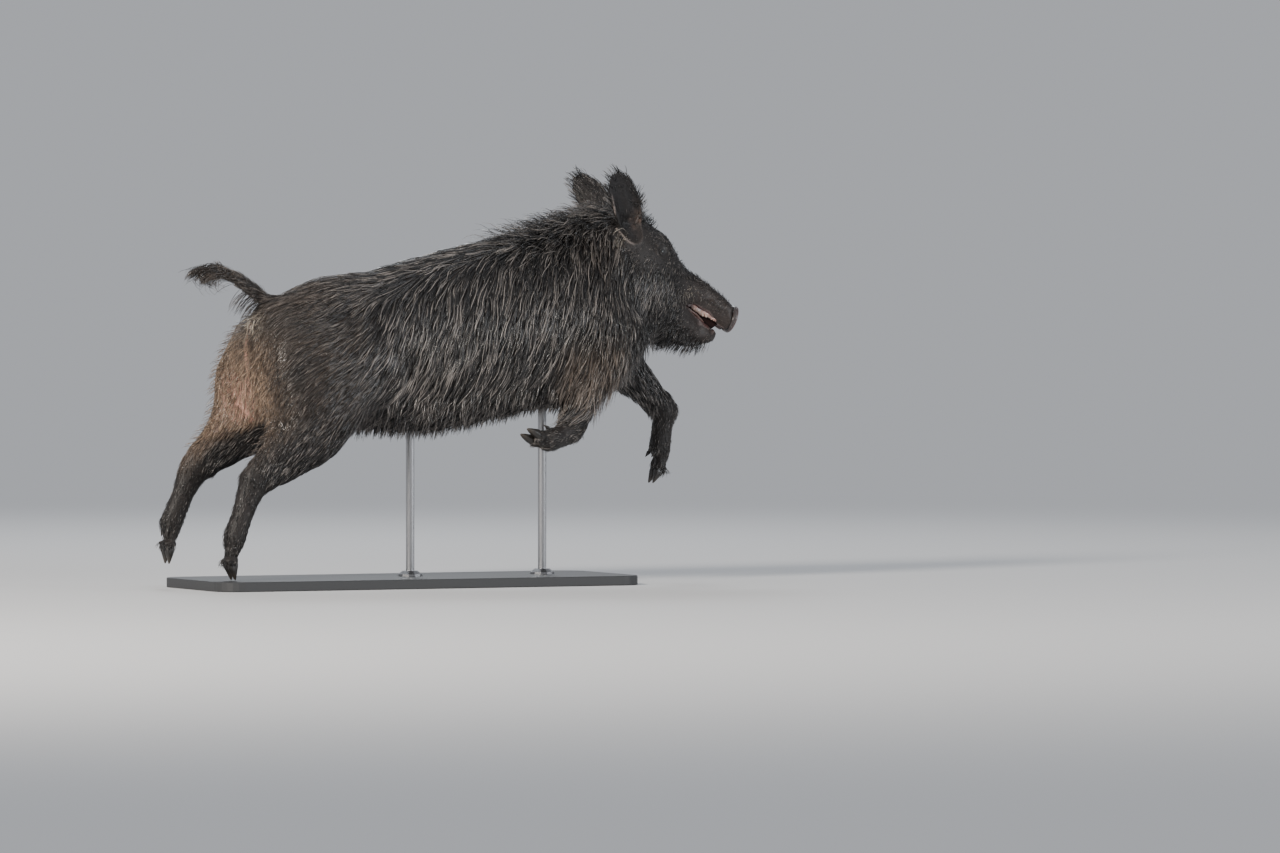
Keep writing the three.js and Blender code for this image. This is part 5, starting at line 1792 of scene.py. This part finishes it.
def hornMaterial():
    material, tree, shader = newMaterial("wornHorn", {"Coat Weight": 0.2})
    toe = colourRamp(tree, attribute(tree, "toTip", "Fac"), (0.0, 0.016, 0.013, 0.011),
                     (0.6, 0.013, 0.011, 0.010), (1.0, 0.045, 0.036, 0.028))
    speckled(tree, shader, 240.0, 1.1, 0.40, toe, 0.0004)
    return material


def makeHorn(name, footName, material):
    # height over the rounded solid is a wave of the distance from the foot, fading at the sole's edge
    rough = remeshed("horn_" + name, mergedCopy(name), hornPlan["cell"] * (1))
    soft = rough.modifiers.new("soft", "SMOOTH")
    soft.iterations = 7
    thin = rough.modifiers.new("thin", "DECIMATE")
    thin.ratio = 0.6
    applyModifiers(rough)
    spots, ups = meshPoints(rough.data), meshNormals(rough.data)
    far = spots @ hornAxis(spots, footName)
    way = (far - far.min()) / np.ptp(far)
    lines = np.sin(far / hornPlan["growth"] * 2 * math.pi + 1.2 * sway(spots, 0.03))
    tuck = hornPlan["tuck"] * ramp(way, 0.44, 0.26)
    setPoints(rough.data, spots + ups * (0.0005 + hornPlan["relief"] * lines - tuck)[:, None])
    storeValue(rough.data, "toTip", way)
    rough.data.shade_smooth()
    rideAs(rough, "horn", material, name)


horn = hornMaterial()
for hornName, footName in hornNames:
    makeHorn(hornName, footName, horn)
print("horn")


# The stand: painted base, brushed steel rods and collars

def standMaterials():
    painted, tree, shader = newMaterial("mattPaint", {})
    speckled(tree, shader, 190.0, 0.16, 0.55, (0.035, 0.036, 0.038, 1), 0.00015)
    steel, tree, shader = newMaterial("brushedSteel", {"Metallic": 1.0})
    inputs = {"Vector": objectPlace(tree), "Scale": (1, 1, 0.02)}
    drawn = put(tree, "ShaderNodeMapping", inputs).outputs[0]
    speckled(tree, shader, 900.0, 0.3, 0.30, (0.40, 0.40, 0.41, 1), 0.00005, drawn)
    return painted, steel


painted, steel = standMaterials()
for name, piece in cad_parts.items():
    if name.startswith("stand_"):
        piece.data.materials.clear()
        piece.data.materials.append(painted if name == "stand_base" else steel)


# Stage, camera and light

view = {
    "turn": -25.0,  # degrees round the animal, seen from its right and a little behind
    "rise": 1.0,
    "distance": 20.0,
    "lens": 216.5,
    "aim": (0.4219, -0.1967, 0.4117),
}
camera = newObject("camera", bpy.data.cameras.new("camera"))
turn, rise = math.radians(view["turn"]), math.radians(view["rise"])
back = Vector((math.sin(turn) * math.cos(rise), -math.cos(turn) * math.cos(rise), math.sin(rise)))
camera.location = Vector(view["aim"]) + back * view["distance"]
camera.rotation_euler = (-back).to_track_quat("-Z", "Y").to_euler()
camera.data.lens = view["lens"]
camera.data.sensor_width = 36
camera.data.clip_end = 200
bpy.context.scene.camera = camera

stagePlan = {
    "radius": 60.0,
    "colour": (0.58, 0.58, 0.585),
    "sky": (0.60, 0.62, 0.66),
    "skyStrength": 0.72,
    "fadeStart": 2.6,  # past this the floor takes the sky's own tone, so that no edge shows
    "fadeEnd": 9.0,
}
floorMesh = bpy.data.meshes.new("floor")
work = bmesh.new()
bmesh.ops.create_circle(work, cap_ends=True, segments=96, radius=stagePlan["radius"])
work.to_mesh(floorMesh)
work.free()
floor = newObject("floor", floorMesh)
floorMaterial, tree, shader = newMaterial("paleFloor", {"Roughness": 0.9, "Specular IOR Level": 0.0})
sky = (*stagePlan["sky"], 1)
black = (0, 0, 0, 1)
away = put(tree, "ShaderNodeVectorMath", {0: objectPlace(tree)}, operation="LENGTH").outputs["Value"]
fade = mapped(tree, away, stagePlan["fadeStart"], stagePlan["fadeEnd"], interpolation_type="SMOOTHSTEP")
feed(tree, shader, {
    "Base Color": blended(tree, fade, (*stagePlan["colour"], 1), black),
    "Emission Color": blended(tree, fade, black, sky),
    "Emission Strength": stagePlan["skyStrength"],
})
floor.data.materials.append(floorMaterial)

world = bpy.data.worlds.new("studio")
world.use_nodes = True
background = world.node_tree.nodes["Background"]
feed(world.node_tree, background, {"Color": sky, "Strength": stagePlan["skyStrength"]})
bpy.context.scene.world = world

lamps = {
    "key": {"place": (-7.5, -4.5, 4.8), "size": 2.2, "power": 1250, "colour": (1.0, 0.94, 0.86)},
    "fill": {"place": (6.0, -7.5, 2.6), "size": 4.0, "power": 400, "colour": (0.92, 0.96, 1.0)},
    "rim": {"place": (2.0, 6.0, 6.0), "size": 2.5, "power": 260, "colour": (0.90, 0.95, 1.0)},
}
for name, plan in lamps.items():
    lamp = newObject(name, bpy.data.lights.new(name, "AREA"))
    lamp.location = plan["place"]
    lamp.rotation_euler = (Vector((0, 0, 0.6)) - lamp.location).to_track_quat("-Z", "Y").to_euler()
    lamp.data.shape = "DISK"
    lamp.data.size = plan["size"]
    lamp.data.energy = plan["power"]
    lamp.data.color = plan["colour"]
